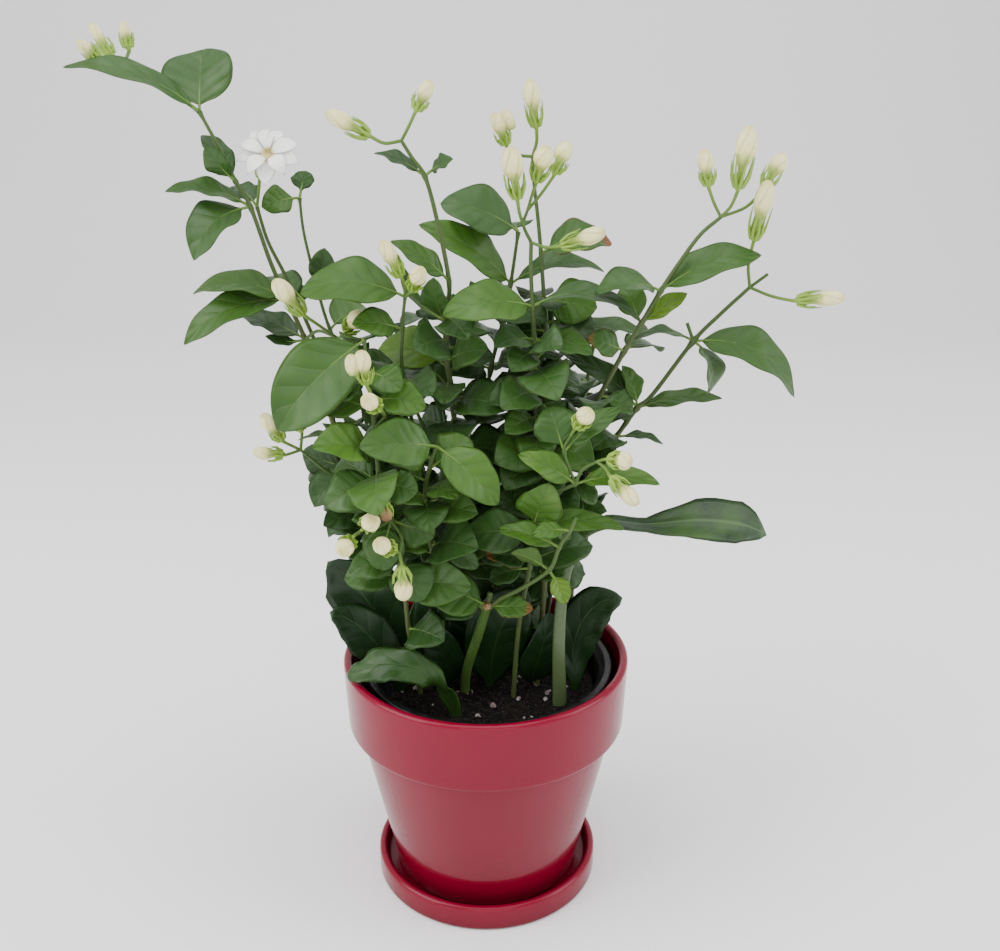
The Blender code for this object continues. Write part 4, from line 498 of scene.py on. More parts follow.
# A basal leaf has its route, its whole width at each route point, and where its upper side looks there,
# then its tone, how slim it is beside these widths, and how deep its edge waves.
BASALS = [
    Basal("basal_leaf_right_long",
          rooted(42, -26, (41, -24, 164), (43, -17, 192), (47, -13, 210), (54, -11, 223), (67, -12, 231),
              (88, -14, 230), (114, -20, 235), (136, -25, 235), (151, -28, 230)),
          [6, 8, 7, 6.5, 6, 6, 9, 10, 26, 28, 4],
          [(0, -9, 0), (0, -9, 0), (0, -9, 2), (0, -9, 2), (0, -9, 3), (-4, -7, 5), (0, -6, 7), (0, -5, 8),
              (0, -6, 8), (0, -6, 8), (0, -6, 8)]),
    Basal("basal_leaf_right_inner",
          rooted(52, -8, (51, -3, 146), (56, 0, 163), (66, 2, 174), (79, 4, 177)),
          [5, 6, 22, 28, 24, 5],
          [(0, -9, 0), (0, -9, 1), (-2, -9, 3), (-3, -8, 4), (-3, -7, 6), (-2, -6, 8)], 0.35),
    Basal("basal_leaf_middle",
          rooted(2, -6, (4, -8, 146), (8, -10, 164), (15, -10, 178), (24, -8, 188)),
          [5, 7, 32, 38, 30, 5],
          [(0, -9, 0), (0, -9, 1), (0, -9, 3), (1, -9, 3), (0, -9, 3), (0, -9, 3)]),
    Basal("basal_leaf_over_rim",
          rooted(-17, -38, (-24, -43, 147), (-36, -45, 158), (-53, -43, 160), (-67, -39, 154),
              (-77, -35, 148)),
          [5, 7, 16, 22, 28, 20, 4],
          [(0, -9, 0), (0, -9, 1), (-6, -5, 5), (-3, -6, 7), (-2, -6, 7), (-3, -6, 7),
              (-4, -5, 7)], 0.56, 0.76, 2.2),
    Basal("basal_leaf_left_upper",
          rooted(-47, 2, (-54, -3, 154), (-65, -8, 178), (-76, -12, 197), (-87, -16, 209)),
          [5, 7, 28, 40, 34, 5],
          [(0, -9, 0), (0, -9, 1), (-2, -9, 3), (-2, -9, 3), (-2, -9, 3), (-2, -9, 3)], 0.24),
    Basal("basal_leaf_left_lower",
          rooted(-49, -12, (-56, -17, 150), (-66, -20, 166), (-76, -22, 176), (-86, -24, 182)),
          [5, 7, 20, 28, 22, 5],
          [(0, -9, 0), (0, -9, 1), (-1, -8, 5), (-1, -7, 6), (-1, -7, 7), (-1, -6, 8)]),
    Basal("basal_leaf_inner_left",
          rooted(-28, 0, (-30, -3, 150), (-32, -7, 172), (-34, -8, 194)),
          [5, 8, 20, 20, 5],
          [(0, -9, 0), (0, -9, 1), (0, -9, 2), (0, -9, 2), (0, -9, 2)]),
]

# The open flower: its stalk, how far its face lies from the stalk's end, where it looks, and its petals
FLOWER_SHOOT = "shoot_left_flower"
FLOWER_STALK = [(-120, 24, 396), (-118, 23, 406), (-117, 21, 411)]
FLOWER_TO = (7, -9, 12)
FLOWER_LOOKS = (1, -8, 6)
FLOWER_RADIUS = 18.5
PETALS_IN_LAYER = 5
PETAL_WIDTH = 10.5
PETAL_TILT = math.radians(6)
INNER_SHARE = 0.92
INNER_LIFT = 2.2


# Solids, put together ring by ring


def ramp(value, low, high):
    """0 up to the low end, 1 from the high end on, and straight in between."""
    return min(1.0, max(0.0, (value - low) / (high - low)))


def unit(values):
    return Vector(values).normalized()


def across(direction):
    """Two unit vectors square to a direction and to each other."""
    helper = Vector((0, 0, 1)) if abs(direction.z) < 0.9 else Vector((1, 0, 0))
    first = direction.cross(helper).normalized()
    return first, direction.cross(first).normalized()


class Solid:
    """The points and faces of one closed body."""

    def __init__(self):
        self.points = []
        self.faces = []

    def add(self, points):
        """Adds points and gives their numbers."""
        start = len(self.points)
        self.points += points
        return list(range(start, len(self.points)))

    def circle(self, centre, side, other, radius, sides):
        """Adds a ring of points round a centre."""
        ring = []
        for k in range(sides):
            angle = 2 * math.pi * k / sides
            ring.append(centre + side * radius * math.cos(angle) + other * radius * math.sin(angle))
        return self.add(ring)

    def split(self, a, b, c, d):
        """Adds a bent quad as the two triangles on either side of its first corner's diagonal."""
        self.faces += [(a, b, c), (a, c, d)]

    def bridge(self, first, second):
        """Closes the band between two rings of equal length."""
        for k in range(len(first)):
            after = (k + 1) % len(first)
            self.faces.append((first[k], first[after], second[after], second[k]))

    def cap(self, ring, flip=False):
        self.faces.append(tuple(ring[::-1] if flip else ring))

    def stack(self, rings):
        """Closes a body over rings from end to end. A ring of one point, repeated, makes a pointed end."""
        self.cap(rings[0], True)
        for low, high in zip(rings, rings[1:]):
            self.bridge(low, high)
        self.cap(rings[-1])
        return self.outward()

    def outward(self):
        """Drops faces that shrank to a line, and turns the rest outwards where the body is inside out."""
        self.faces = [tuple(dict.fromkeys(face)) for face in self.faces]
        self.faces = [face for face in self.faces if len(face) > 2]
        volume = 0.0
        for face in self.faces:
            corners = [self.points[k] for k in face]
            for b, c in zip(corners[1:], corners[2:]):
                volume += corners[0].dot(b.cross(c))
        if volume < 0:
            self.faces = [face[::-1] for face in self.faces]
        return self


def frames(route):
    """Each route point with two directions across the route, which turn as little as they can."""
    route = [Vector(p) for p in route]
    last = len(route) - 1
    side = across((route[1] - route[0]).normalized())[0]
    for i, place in enumerate(route):
        ahead = (route[min(i + 1, last)] - route[max(i - 1, 0)]).normalized()
        side = (side - ahead * side.dot(ahead)).normalized()
        yield place, side, ahead.cross(side)


def tube(route, foot, top, sides, grow=0.0):
    """A tapered round stem along a route."""
    solid = Solid()
    rings = []
    for i, (place, side, other) in enumerate(frames(route)):
        radius = foot + (top - foot) * i / (len(route) - 1) + grow
        rings.append(solid.circle(place, side, other, radius, sides))
    return solid.stack(rings)


def spindle(base, axis, outline, sides, apex=None):
    """A turned shape from (distance, radius) pairs along an axis, flat at its end or with a pointed apex."""
    solid = Solid()
    side, other = across(axis)
    rings = [solid.circle(base + axis * along, side, other, radius, sides) for along, radius in outline]
    if apex is not None:
        rings.append(solid.add([base + axis * apex]) * sides)
    return solid.stack(rings)


def blade_rows(solid, rows):
    """Closes a blade over rows of left, middle and right (upper, lower) pairs, split alike on both faces."""
    for (left, mid, right), (far_left, far_mid, far_right) in zip(rows, rows[1:]):
        solid.split(left[0], mid[0], far_mid[0], far_left[0])
        solid.split(right[0], far_right[0], far_mid[0], mid[0])
        solid.split(far_mid[1], mid[1], left[1], far_left[1])
        solid.split(far_mid[1], far_right[1], right[1], mid[1])
        solid.faces.append((left[0], far_left[0], far_left[1], left[1]))
        solid.faces.append((right[0], right[1], far_right[1], far_right[0]))


# Leaves


class Blade:
    """The middle surface of one leaf, from its root in the stem (u = 0) to its tip (u = 1)."""

    def __init__(self, root, leaf, number, turn=Matrix.Identity(3), scale=1.0):
        chance = random.Random(number)
        reach = turn @ Vector(leaf.to) * scale
        faces = turn @ Vector(leaf.faces)
        self.root = Vector(root)
        self.length = reach.length
        self.axis = reach.normalized()
        self.up = (faces - self.axis * faces.dot(self.axis)).normalized()
        self.side = self.axis.cross(self.up)
        self.half_width = leaf.wide * scale / 2
        self.arch = leaf.arch * self.length
        self.stalk = min(leaf.stalk / self.length, 0.4)
        self.fold = LEAF_FOLD * chance.uniform(0.5, 1.4)
        self.twist = LEAF_TWIST * chance.uniform(-1, 1)
        self.phase = chance.uniform(0, 2 * math.pi)
        self.waves = chance.uniform(1.6, 2.4)
        self.droop = chance.uniform(0.02, 0.09) * self.length

    def width_at(self, t):
        """Half the width of the blade, an oval that is fullest before its middle."""
        if t <= 0:
            return LEAF_STALK_HALF_WIDTH
        size, start, end = LEAF_OVAL
        return max(LEAF_STALK_HALF_WIDTH, self.half_width * size * t ** start * (1 - t) ** end)

    def point(self, u, v, grow=0.0):
        t = ramp(u, self.stalk, 1)
        bow = 4 * u * (1 - u) * self.arch - self.droop * t ** 3
        turn = self.twist * t
        side = self.side * math.cos(turn) + self.up * math.sin(turn)
        up = self.up * math.cos(turn) - self.side * math.sin(turn)
        half = self.width_at(t) + grow
        lift = half * abs(v) * math.sin(self.fold) * min(1.0, 3 * t)
        ripple = math.sin(2 * math.pi * self.waves * t + self.phase + (1.7 if v > 0 else 0.0))
        lift += LEAF_WAVE * ripple * v * v * min(1.0, half / 6) * min(1.0, 4 * t)
        return self.root + self.axis * self.length * u + self.up * bow + side * half * v + up * lift

    def normal(self, u, v):
        along = self.point(u + 0.02, v) - self.point(u - 0.02, v)
        return (self.point(u, v + 0.2) - self.point(u, v - 0.2)).cross(along).normalized()


def leaf_solid(blade, grow=0.0, start=0.0):
    """A leaf as one closed solid: its stalk as a slim bar, then its blade in rows, up to its tip."""
    solid = Solid()
    neck = max(blade.stalk, start + 0.03)
    bars = []
    for u in (start, neck):
        left, middle, right = (blade.point(u, v, grow) for v in (-1, 0, 1))
        under = middle - blade.normal(u, 0) * (LEAF_STALK_THICKNESS + grow)
        bars.append(solid.add([left, right, under]))
    solid.cap(bars[0], True)
    solid.bridge(*bars)
    left, right, under = bars[1]
    rows = [((left, left), (left, under), (right, right))]
    stops = next(stops for least, stops in LEAF_ROWS.items() if blade.length > least)
    for u in (blade.stalk + (1 - blade.stalk) * t for t in stops):
        if u > neck + 0.02:
            rows.append([])
            for v in (-1, 0, 1):
                place = blade.point(u, v, grow)
                lift = blade.normal(u, v) * (BLADE_THICKNESS / 2 + grow)
                rows[-1].append(solid.add([place + lift, place - lift]))
    tip = blade.point(1.0, 0.0) + blade.axis * grow
    lift = blade.normal(0.97, 0) * (BLADE_THICKNESS / 2 + grow)
    ends = solid.add([tip + lift, tip - lift])
    rows.append((ends, ends, ends))
    blade_rows(solid, rows)
    return solid.outward()


class Crowd:
    """Everything placed so far, with its owner, against which a new leaf is tested."""

    def __init__(self):
        self.placed = []

    def reach(self, solid):
        """What a solid is tested by: its middle, how far it reaches from there, and its faces."""
        centre = sum(solid.points, Vector()) / len(solid.points)
        radius = max((p - centre).length for p in solid.points)
        return centre, radius, BVHTree.FromPolygons(solid.points, solid.faces)

    def add(self, solid, owner):
        self.placed.append((*self.reach(solid), owner))

    def clear(self, solid, own=None):
        """Whether a solid is clear of all that is placed, leaving out what one owner placed."""
        centre, radius, tree = self.reach(solid)
        for middle, reach, other, owner in self.placed:
            if owner != own and (middle - centre).length < reach + radius and tree.overlap(other):
                return False
        return True


def small_turns():
    """Turns of a leaf about its root, from none to large, then a smaller leaf where no turn helps."""
    for scale in SETTLED_SCALES:
        yield 0.0, 0.0, scale
        for angle in SETTLED_ANGLES:
            for yaw, pitch in ((0, 1), (0, -1), (1, 0), (-1, 0), (1, 1), (-1, 1), (1, -1), (-1, -1)):
                yield math.radians(yaw * angle), math.radians(pitch * angle), scale


def has_room(blade, crowd, clearance, owner):
    """Whether a leaf is clear of other shoots, and its far part of its own. It then joins the crowd."""
    whole = leaf_solid(blade, clearance)
    free = leaf_solid(blade, clearance, min(0.45, FREE_OF_STEM / blade.length))
    if crowd.clear(free) and crowd.clear(whole, owner):
        crowd.add(whole, owner)
        return True
    return False


def settle(root, leaf, number, crowd, owner):
    """The leaf as planned, or turned and shortened a little until it is clear of all that is placed."""
    sideways = Vector(leaf.to).cross(Vector((0, 0, 1)))
    sideways = sideways.normalized() if sideways.length > 1 else Vector((1, 0, 0))
    for yaw, pitch, scale in small_turns():
        turn = Matrix.Rotation(yaw, 3, "Z") @ Matrix.Rotation(pitch, 3, sideways)
        blade = Blade(root, leaf, number, turn, scale)
        if has_room(blade, crowd, CLEARANCE, owner):
            return blade
    return None


def spike_tip(length, wide):
    """How far a calyx spike's tip lies along the bud and out from its axis."""
    return max(0.42 * length, CUP_HEIGHT + 4), 0.28 * wide + 2.0


def rim_guard(low, high, centre_x=0.0):
    """A ring wall between two (height, radius) pairs, which leaves stay clear of."""
    wall = spindle(Vector((centre_x, 0, 0)), Vector((0, 0, 1)), [low, high], 24)
    wall.faces = [face for face in wall.faces if min(face) < 24 <= max(face)]
    return wall


def place_stems(crowd):
    """Puts every stem, bud, rim and the flower where the leaves will be tested against them."""
    for shoot in SHOOTS:
        for stem in shoot.stems:
            crowd.add(tube(stem.route, stem.foot, stem.top, 5, 0.2), shoot.name)
        for bud in shoot.buds:
            base = Vector(bud.stalk[-1])
            axis = unit(bud.to)
            length = Vector(bud.to).length
            along, reach = spike_tip(length, bud.wide)
            swollen = [(-0.5, 1.5), (along, reach + 0.4), (0.75 * length, 0.5 * bud.wide + 0.8),
                       (0.92 * length, 0.3 * bud.wide + 0.6)]
            crowd.add(tube(bud.stalk, 1.0, 1.0, 4), shoot.name)
            crowd.add(spindle(base, axis, swollen, 6, length + 0.6), bud.name)
            if bud.twin:
                crowd.add(spindle(base + Vector(bud.twin), axis, swollen[1:], 6, length), bud.name)
    centre = Vector(FLOWER_STALK[-1]) + Vector(FLOWER_TO)
    wheel = [(-3, 5), (-1, FLOWER_RADIUS + 1), (6, FLOWER_RADIUS + 1)]
    crowd.add(tube(FLOWER_STALK, 1.0, 1.0, 4), FLOWER_SHOOT)
    crowd.add(tube([FLOWER_STALK[-1], centre], 4.0, 4.0, 6), "flower")
    crowd.add(spindle(centre, unit(FLOWER_LOOKS), wheel, 12), "flower")
    pot_rim = (BAND_BOTTOM, BAND_BOTTOM_RADIUS + 1.5), (POT_TOP + 0.4, POT_RIM_RADIUS + 0.5)
    crowd.add(rim_guard(*pot_rim), "pot")
    grow_pot_rim = (SOIL_TOP, GROW_POT_NECK_RADIUS - 2.5), (GROW_POT_TOP + 0.4, GROW_POT_LIP_RADIUS - 4)
    crowd.add(rim_guard(*grow_pot_rim, GROW_POT_X), "grow_pot")


def basal_solid(basal, grow=0.0):
    """A leaf that rises from the soil on its own thick stalk, in rows along its route."""
    route = [Vector(p) for p in basal.route]
    last = len(route) - 1
    solid = Solid()
    rows = []
    for i, place in enumerate(route):
        along = (route[min(i + 1, last)] - route[max(i - 1, 0)]).normalized()
        up = Vector(basal.faces[i])
        up = (up - along * up.dot(along)).normalized()
        side = along.cross(up)
        half = basal.wide[i] / 2
        cup = BASAL_CUP * half if half > 5 else 0.0
        thick = up * (BASAL_STALK_THICKNESS if half < 5 and i < last else BASAL_THICKNESS) / 2 + up * grow
        rows.append([])
        for v in (-1, 0, 1):
            middle = place + side * (half + grow) * v + up * cup * abs(v)
            rows[-1].append(solid.add([middle + thick, middle - thick]))
    blade_rows(solid, rows)
    for row, flip in ((rows[0], False), (rows[-1], True)):
        left, mid, right = row
        solid.cap([left[0], left[1], mid[1], right[1], right[0], mid[0]], flip)
    return solid.outward()


def leaf_root(shoot, leaf):
    """The place on its stem where a leaf grows."""
    stem, position = leaf.at
    route = shoot.stems[stem].route
    before = min(int(position), len(route) - 2)
    return Vector(route[before]).lerp(Vector(route[before + 1]), position - before)


# Node trees written as expressions


class Field:
    """A socket of a node tree. Arithmetic on it adds Math nodes."""

    def __init__(self, tree, socket):
        self.tree = tree
        self.socket = socket

    def maths(self, operation, *values):
        return self.tree.node("ShaderNodeMath", {"operation": operation}, dict(enumerate(values)))

    def __add__(self, other):
        return self.maths("ADD", self, other)

    def __sub__(self, other):
        return self.maths("SUBTRACT", self, other)

    def __rsub__(self, other):
        return self.maths("SUBTRACT", other, self)

    def __mul__(self, other):
        return self.maths("MULTIPLY", self, other)

    def __pow__(self, other):
        return self.maths("POWER", self, other)

    def fraction(self):
        return self.maths("FRACT", self)

    def off_middle(self):
        """How far a share lies from one half: 0 there, 1 at both ends."""
        return self.maths("ABSOLUTE", self * 2 - 1)

    def ramp(self, low, high):
        """0 below low, 1 above high, and straight in between."""
        sockets = {"Value": self, "From Min": low, "From Max": high}
        return self.tree.node("ShaderNodeMapRange", {}, sockets)


class Tree:
    """A shader or geometry tree under construction."""

    def __init__(self, tree):
        self.tree = tree

    def feed(self, socket, value):
        if isinstance(value, Field):
            self.tree.links.new(value.socket, socket)
        else:
            socket.default_value = value

    def node(self, kind, settings=(), sockets=(), output=0):
        """Makes any node: its settings first, then the values or links of its sockets."""
        made = self.tree.nodes.new(kind)
        for name, value in dict(settings).items():
            setattr(made, name, value)
        for name, value in dict(sockets).items():
            self.feed(made.inputs[name], value)
        return Field(self, made.outputs[output]) if made.outputs else None


class Finish(Tree):
    """A material with its Principled shader."""

    def __init__(self, name, specular, coat=0.0, coat_roughness=0.03):
        self.material = bpy.data.materials.new(name)
        self.material.use_nodes = True
        super().__init__(self.material.node_tree)
        self.shader = self.tree.nodes["Principled BSDF"]
        self.set({"Specular IOR Level": specular, "Coat Weight": coat, "Coat Roughness": coat_roughness})

    def set(self, values):
        for name, value in values.items():
            self.feed(self.shader.inputs[name], value)

    def noise(self, scale, detail=3.0):
        place = self.node("ShaderNodeTexCoord", output="Object")
        return self.node("ShaderNodeTexNoise", {}, {"Vector": place, "Scale": scale, "Detail": detail})

    def attribute(self, name):
        return self.node("ShaderNodeAttribute", {"attribute_name": name}, output="Fac")

    def blade_axes(self):
        """How far along the blade a point is, and how far from its midrib."""
        chart = self.node("ShaderNodeUVMap", {"uv_map": "blade"})
        along, sideways = (self.node("ShaderNodeSeparateXYZ", {}, {0: chart}, axis) for axis in "XY")
        return along, sideways.off_middle()

    def colours(self, value, stops):
        """A colour that follows a number between the stops."""
        made = self.node("ShaderNodeValToRGB", {}, {"Fac": value})
        elements = made.socket.node.color_ramp.elements
        while len(elements) < len(stops):
            elements.new(1.0)
        for element, (position, colour) in zip(elements, stops):
            element.position = position
            element.color = (*colour, 1)
        return made

    def mix(self, share, first, second):
        """A mix of two colours."""
        first, second = ((*c, 1) if isinstance(c, tuple) else c for c in (first, second))
        return self.node("ShaderNodeMix", {"data_type": "RGBA"}, {0: share, 6: first, 7: second}, 2)

    def surface(self, colour, roughness, height, depth, strength=1.0):
        """Sets the colour, the roughness and the fine relief, and gives the material."""
        relief = {"Height": height, "Distance": depth, "Strength": strength}
        bump = self.node("ShaderNodeBump", {}, relief)
        self.set({"Base Color": colour, "Roughness": roughness, "Normal": bump})
        return self.material


# Finishes


def leaf_finish(name, veins, tones, underside, roughness, depth):
    """A leaf: it runs from deep to bright tones, side veins curve to its edge, and its underside is pale."""
    finish = Finish(name, 0.24, coat_roughness=0.2)
    along, across_blade = finish.blade_axes()
    under = finish.attribute("under")
    deep, bright = tones[0][1], tones[-1][1]
    ridge = (along * veins - across_blade ** 0.8 * VEIN_SLANT).fraction().off_middle()
    side_vein = ridge.ramp(0.9, 1.0) * (1 - across_blade ** 4)
    midrib = 1 - across_blade.ramp(0.0, 0.055)
    mottle = finish.noise(55.0)
    grain = finish.noise(1400.0, 2.0)
    colour = finish.colours(finish.attribute("tone") + mottle * 0.36 - 0.18, tones)
    # Painted shade: darker in the furrows along the side veins.
    colour = finish.mix(ridge * ridge * 0.2, colour, deep)
    colour = finish.mix(side_vein * 0.14, colour, bright)
    colour = finish.mix(across_blade.ramp(0.94, 1.0) * 0.22, colour, bright)
    colour = finish.mix(midrib * 0.4, colour, underside)
    colour = finish.mix(under * 0.75, colour, underside)
    withered = (along + mottle * 0.1).ramp(0.86, 0.97) + across_blade.ramp(0.9, 1.0) * 0.8
    colour = finish.mix(withered * finish.attribute("dry"), colour, WITHERED)
    finish.set({"Coat Weight": (1 - under) * mottle.ramp(0.45, 0.7) * 0.28})
    roughness = mottle * 0.2 + grain * 0.1 + under * 0.2 + roughness
    height = (1 - under * 2) * (side_vein * -0.2 - ridge * ridge * 0.8 - midrib * 0.8) + grain * 0.2
    return finish.surface(colour, roughness, height, depth)


def stalked_finish():
    """The long basal leaf: a pale grey-green stalk that passes into a deep green blade with a pale midrib."""
    finish = Finish("basal_leaf_long", 0.35, 0.15, 0.25)
    along, across_blade = finish.blade_axes()
    mottle = finish.noise(60.0)
    fibres = finish.noise(700.0, 2.0)
    blade = finish.colours(mottle, BASAL_GREENS)
    blade = finish.mix((1 - across_blade.ramp(0.02, 0.1)) * 0.5, blade, BASAL_MIDRIB)
    stalk = finish.mix(fibres, *BASAL_STALK)
    colour = finish.mix((along + mottle * 0.1).ramp(0.5, 0.62), stalk, blade)
    return finish.surface(colour, mottle * 0.2 + fibres * 0.1 + 0.25, mottle * 0.6 + fibres * 0.4, 0.0005)


def bark_finish():
    """Green young shoots that turn olive and brown with age, and fresh yellow-green flower stalks."""
    finish = Finish("shoot_bark", 0.35)
    flecks = finish.noise(900.0)
    patches = finish.noise(90.0)
    colour = finish.colours(finish.attribute("bark") + patches * 0.5 - 0.25, BARK)
    colour = finish.mix(finish.attribute("fresh"), colour, FRESH_STALK)
    colour = finish.mix(flecks.ramp(0.56, 0.75) * 0.25, colour, BARK_FLECK)
    return finish.surface(colour, flecks * 0.25 + 0.4, flecks * 0.5 + patches * 0.5, 0.0004)


def bloom_finish(name, stops, roughness=0.42):
    """Waxy petals whose colour follows their length, with fine lines along them."""
    finish = Finish(name, 0.35)
    along, across_petal = finish.blade_axes()
    waviness = finish.noise(260.0)
    lines = (across_petal * 5 + waviness * 0.8).fraction().off_middle()
    colour = finish.colours(along + waviness * 0.1 - 0.05, stops)
    colour = finish.mix(lines.ramp(0.6, 1.0) * 0.05, colour, stops[0][1])
    return finish.surface(colour, waviness * 0.2 + roughness - 0.1, lines * 0.3 + waviness * 0.7, 0.0003)


def glaze_finish():
    """Cherry red glaze, paler towards the top as a painted highlight and darker towards the bottom, under a
    clear gloss.
    """
    finish = Finish("red_glaze_fired", 0.08, 0.36, 0.02)
    clouds = finish.noise(26.0)
    peel = finish.noise(240.0, 2.0)
    specks = finish.noise(1500.0, 1.0)
    thin = finish.attribute("thin")
    colour = finish.mix(clouds.ramp(0.3, 0.75), GLAZE_DEEP, GLAZE_PLAIN)
    colour = finish.mix(0.72, colour, GLAZE_PLAIN)
    # Painted highlight: paler towards the top. Below it, darker towards the bottom.
    colour = finish.mix(thin.ramp(0.5, 1.0) * 0.55, colour, GLAZE_PAINTED_HIGHLIGHT)
    colour = finish.mix(1 - thin.ramp(0.0, 0.5), colour, GLAZE_DEEP)
    colour = finish.mix(specks.ramp(0.68, 0.8) * 0.2, colour, GLAZE_DEEP)
    return finish.surface(colour, clouds * 0.1 + 0.2, peel * 0.6 + clouds * 0.4, 0.00035, 0.6)


def grow_pot_finish():
    """Moulded black plastic, scuffed grey in places."""
    finish = Finish("black_plastic_moulded", 0.4)
    scuffs = finish.noise(130.0, 6.0)
    grain = finish.noise(2600.0, 1.0)
    colour = finish.mix(scuffs.ramp(0.5, 0.85) * 0.7, *PLASTIC)
    return finish.surface(colour, scuffs * 0.35 + 0.25, scuffs * 0.4 + grain * 0.3, 0.0003)


def soil_finish():
    """Damp dark soil with browner fibres and small pale specks."""
    finish = Finish("potting_soil_damp", 0.16)
    lumps = finish.noise(330.0, 8.0)
    fibres = finish.noise(1200.0, 2.0)
    specks = finish.noise(2100.0, 0.0)
    colour = finish.colours(lumps, SOIL)
    colour = finish.mix(fibres.ramp(0.6, 0.75) * 0.3, colour, SOIL_FIBRE)
    colour = finish.mix(specks.ramp(0.76, 0.84) * 0.5, colour, SOIL_SPECK)
    return finish.surface(colour, fibres * 0.3 + 0.5, lumps * 0.7 + fibres * 0.3, 0.0022)


def perlite_finish():
    """Pale pitted grains, some tinted by the soil."""
    finish = Finish("perlite_grain", 0.3)
    pits = finish.noise(1500.0, 4.0)
    tint = finish.noise(110.0, 1.0)
    colour = finish.mix(tint.ramp(0.35, 0.65), *PERLITE)
    colour = finish.mix(pits.ramp(0.35, 0.6), PERLITE_PIT, colour)
    return finish.surface(colour, pits * 0.2 + 0.7, pits, 0.0006)


def cut_wood_finish():
    """The dried cut end of the stump."""
    finish = Finish("stump_cut_wood", 0.2)
    rings = finish.noise(1100.0, 5.0)
    return finish.surface(finish.colours(rings, CUT_WOOD), rings * 0.2 + 0.65, rings, 0.0008)


# Fine meshes


def linked(name, data):
    """An object with this data, in the scene."""
    made = bpy.data.objects.new(name, data)
    bpy.context.scene.collection.objects.link(made)
    return made


def point_values(mesh, lists):
    """Puts lists of one number for each point on a mesh, under their names."""
    for label, values in lists.items():
        mesh.attributes.new(label, "FLOAT", "POINT").data.foreach_set("value", values)


def smooth_path(points, steps):
    """A rounded path through all its points, with some steps from each point to the next."""
    points = [Vector(p) for p in points]
    around = [points[0] * 2 - points[1], *points, points[-1] * 2 - points[-2]]
    path = []
    for a, b, c, d in zip(around, around[1:], around[2:], around[3:]):
        for k in range(steps):
            t = k / steps
            bend = (2 * a - 5 * b + 4 * c - d) * t * t + (3 * b - 3 * c + d - a) * t ** 3
            path.append((2 * b + (c - a) * t + bend) / 2)
    return [*path, points[-1]]


def mix_list(values, position):
    """A value between the list's values, at a place counted in list places."""
    before = min(int(position), len(values) - 2)
    part = position - before
    return values[before] * (1 - part) + values[before + 1] * part


def places_across(count):
    """Places across a blade, from -1 at its left edge to 1 at its right one."""
    return [2 * j / (count - 1) - 1 for j in range(count)]


class Sheet:
    """The points, faces and point values of one or many thin blades, which become one piece."""

    def __init__(self):
        self.points = []
        self.faces = []
        self.chart = []
        self.values = []

    def add(self, point, chart, under=0.0, tone=0.0, dry=0.0):
        self.points.append(point)
        self.chart.append(chart)
        self.values.append((under, tone, dry))
        return len(self.points) - 1

    def face(self, *corners):
        corners = tuple(dict.fromkeys(corners))
        if len(corners) > 2:
            self.faces.append(corners)

    def bridge(self, low, high):
        """Closes the band between two rings of equal length."""
        for k in range(len(low)):
            after = (k + 1) % len(low)
            self.face(low[k], low[after], high[after], high[k])

    def blade(self, grid, thick, stops, tone=0.0, dry=0.0):
        """Closes a blade over a grid of middle points. thick gives half its thickness at (row, column)."""
        last, edge = len(grid) - 1, len(grid[0]) - 1
        above, below = [], []
        for i, row in enumerate(grid[:-1]):
            above.append([])
            below.append([])
            for j, place in enumerate(row):
                along = grid[i + 1][j] - grid[max(i - 1, 0)][j]
                side = row[min(j + 1, edge)] - row[max(j - 1, 0)]
                lift = side.cross(along).normalized() * thick(i, j)
                chart = (stops[i], j / edge)
                if j in (0, edge):
                    above[i].append(self.add(place, chart, 0.0, tone, dry))
                    below[i].append(above[i][-1])
                else:
                    above[i].append(self.add(place + lift, chart, 0.0, tone, dry))
                    below[i].append(self.add(place - lift, chart, 1.0, tone, dry))
        tip = self.add(grid[last][(edge + 1) // 2], (1.0, 0.5), 0.0, tone, dry)
        above.append([tip] * (edge + 1))
        below.append([tip] * (edge + 1))
        for i in range(last):
            for j in range(edge):
                self.face(above[i][j], above[i][j + 1], above[i + 1][j + 1], above[i + 1][j])
                self.face(below[i][j], below[i + 1][j], below[i + 1][j + 1], below[i][j + 1])
        self.face(*below[0], *above[0][::-1])

    def piece(self, name, finish):
        """The mesh object of all that was added."""
        mesh = bpy.data.meshes.new(name)
        mesh.from_pydata([p * MM for p in self.points], [], self.faces)
        chart = mesh.uv_layers.new(name="blade")
        for loop in mesh.loops:
            chart.data[loop.index].uv = self.chart[loop.vertex_index]
        point_values(mesh, dict(zip(("under", "tone", "dry"), zip(*self.values))))
        mesh.shade_smooth()
        mesh.materials.append(finish)
        mesh.validate()
        return linked(name, mesh)


def quilting(u, v, half):
    """How far a blade sinks along its side veins, in millimetres, and not at all at its midrib."""
    phase = LEAF_VEINS * u - VEIN_SLANT * abs(v) ** 0.8
    ridge = abs(2 * (phase - math.floor(phase)) - 1)
    return -QUILT_DEPTH * ridge * ridge * (1 - v ** 4) * min(1.0, half / 8, 3 * abs(v))


def leaf_sheet(sheet, blade, tone, dry=0.0):
    """One leaf with its waved blade, which is quilted between the veins where it is large."""
    large = blade.length > LARGE_LEAF
    rows, columns = (38, 17) if large else (18, 11) if blade.length > MIDDLING_LEAF else (14, 9)
    start = blade.stalk * 0.8
    stops = [start + (1 - start) * (k / rows) ** 0.9 for k in range(rows + 1)]
    grid = []
    for u in stops:
        grid.append([])
        for v in places_across(columns):
            sink = quilting(u, v, blade.half_width) if large else 0.0
            grid[-1].append(blade.point(u, v) + blade.up * sink)
    sheet.blade(grid, lambda i, j: LEAF_SKIN / 2, stops, tone, dry)


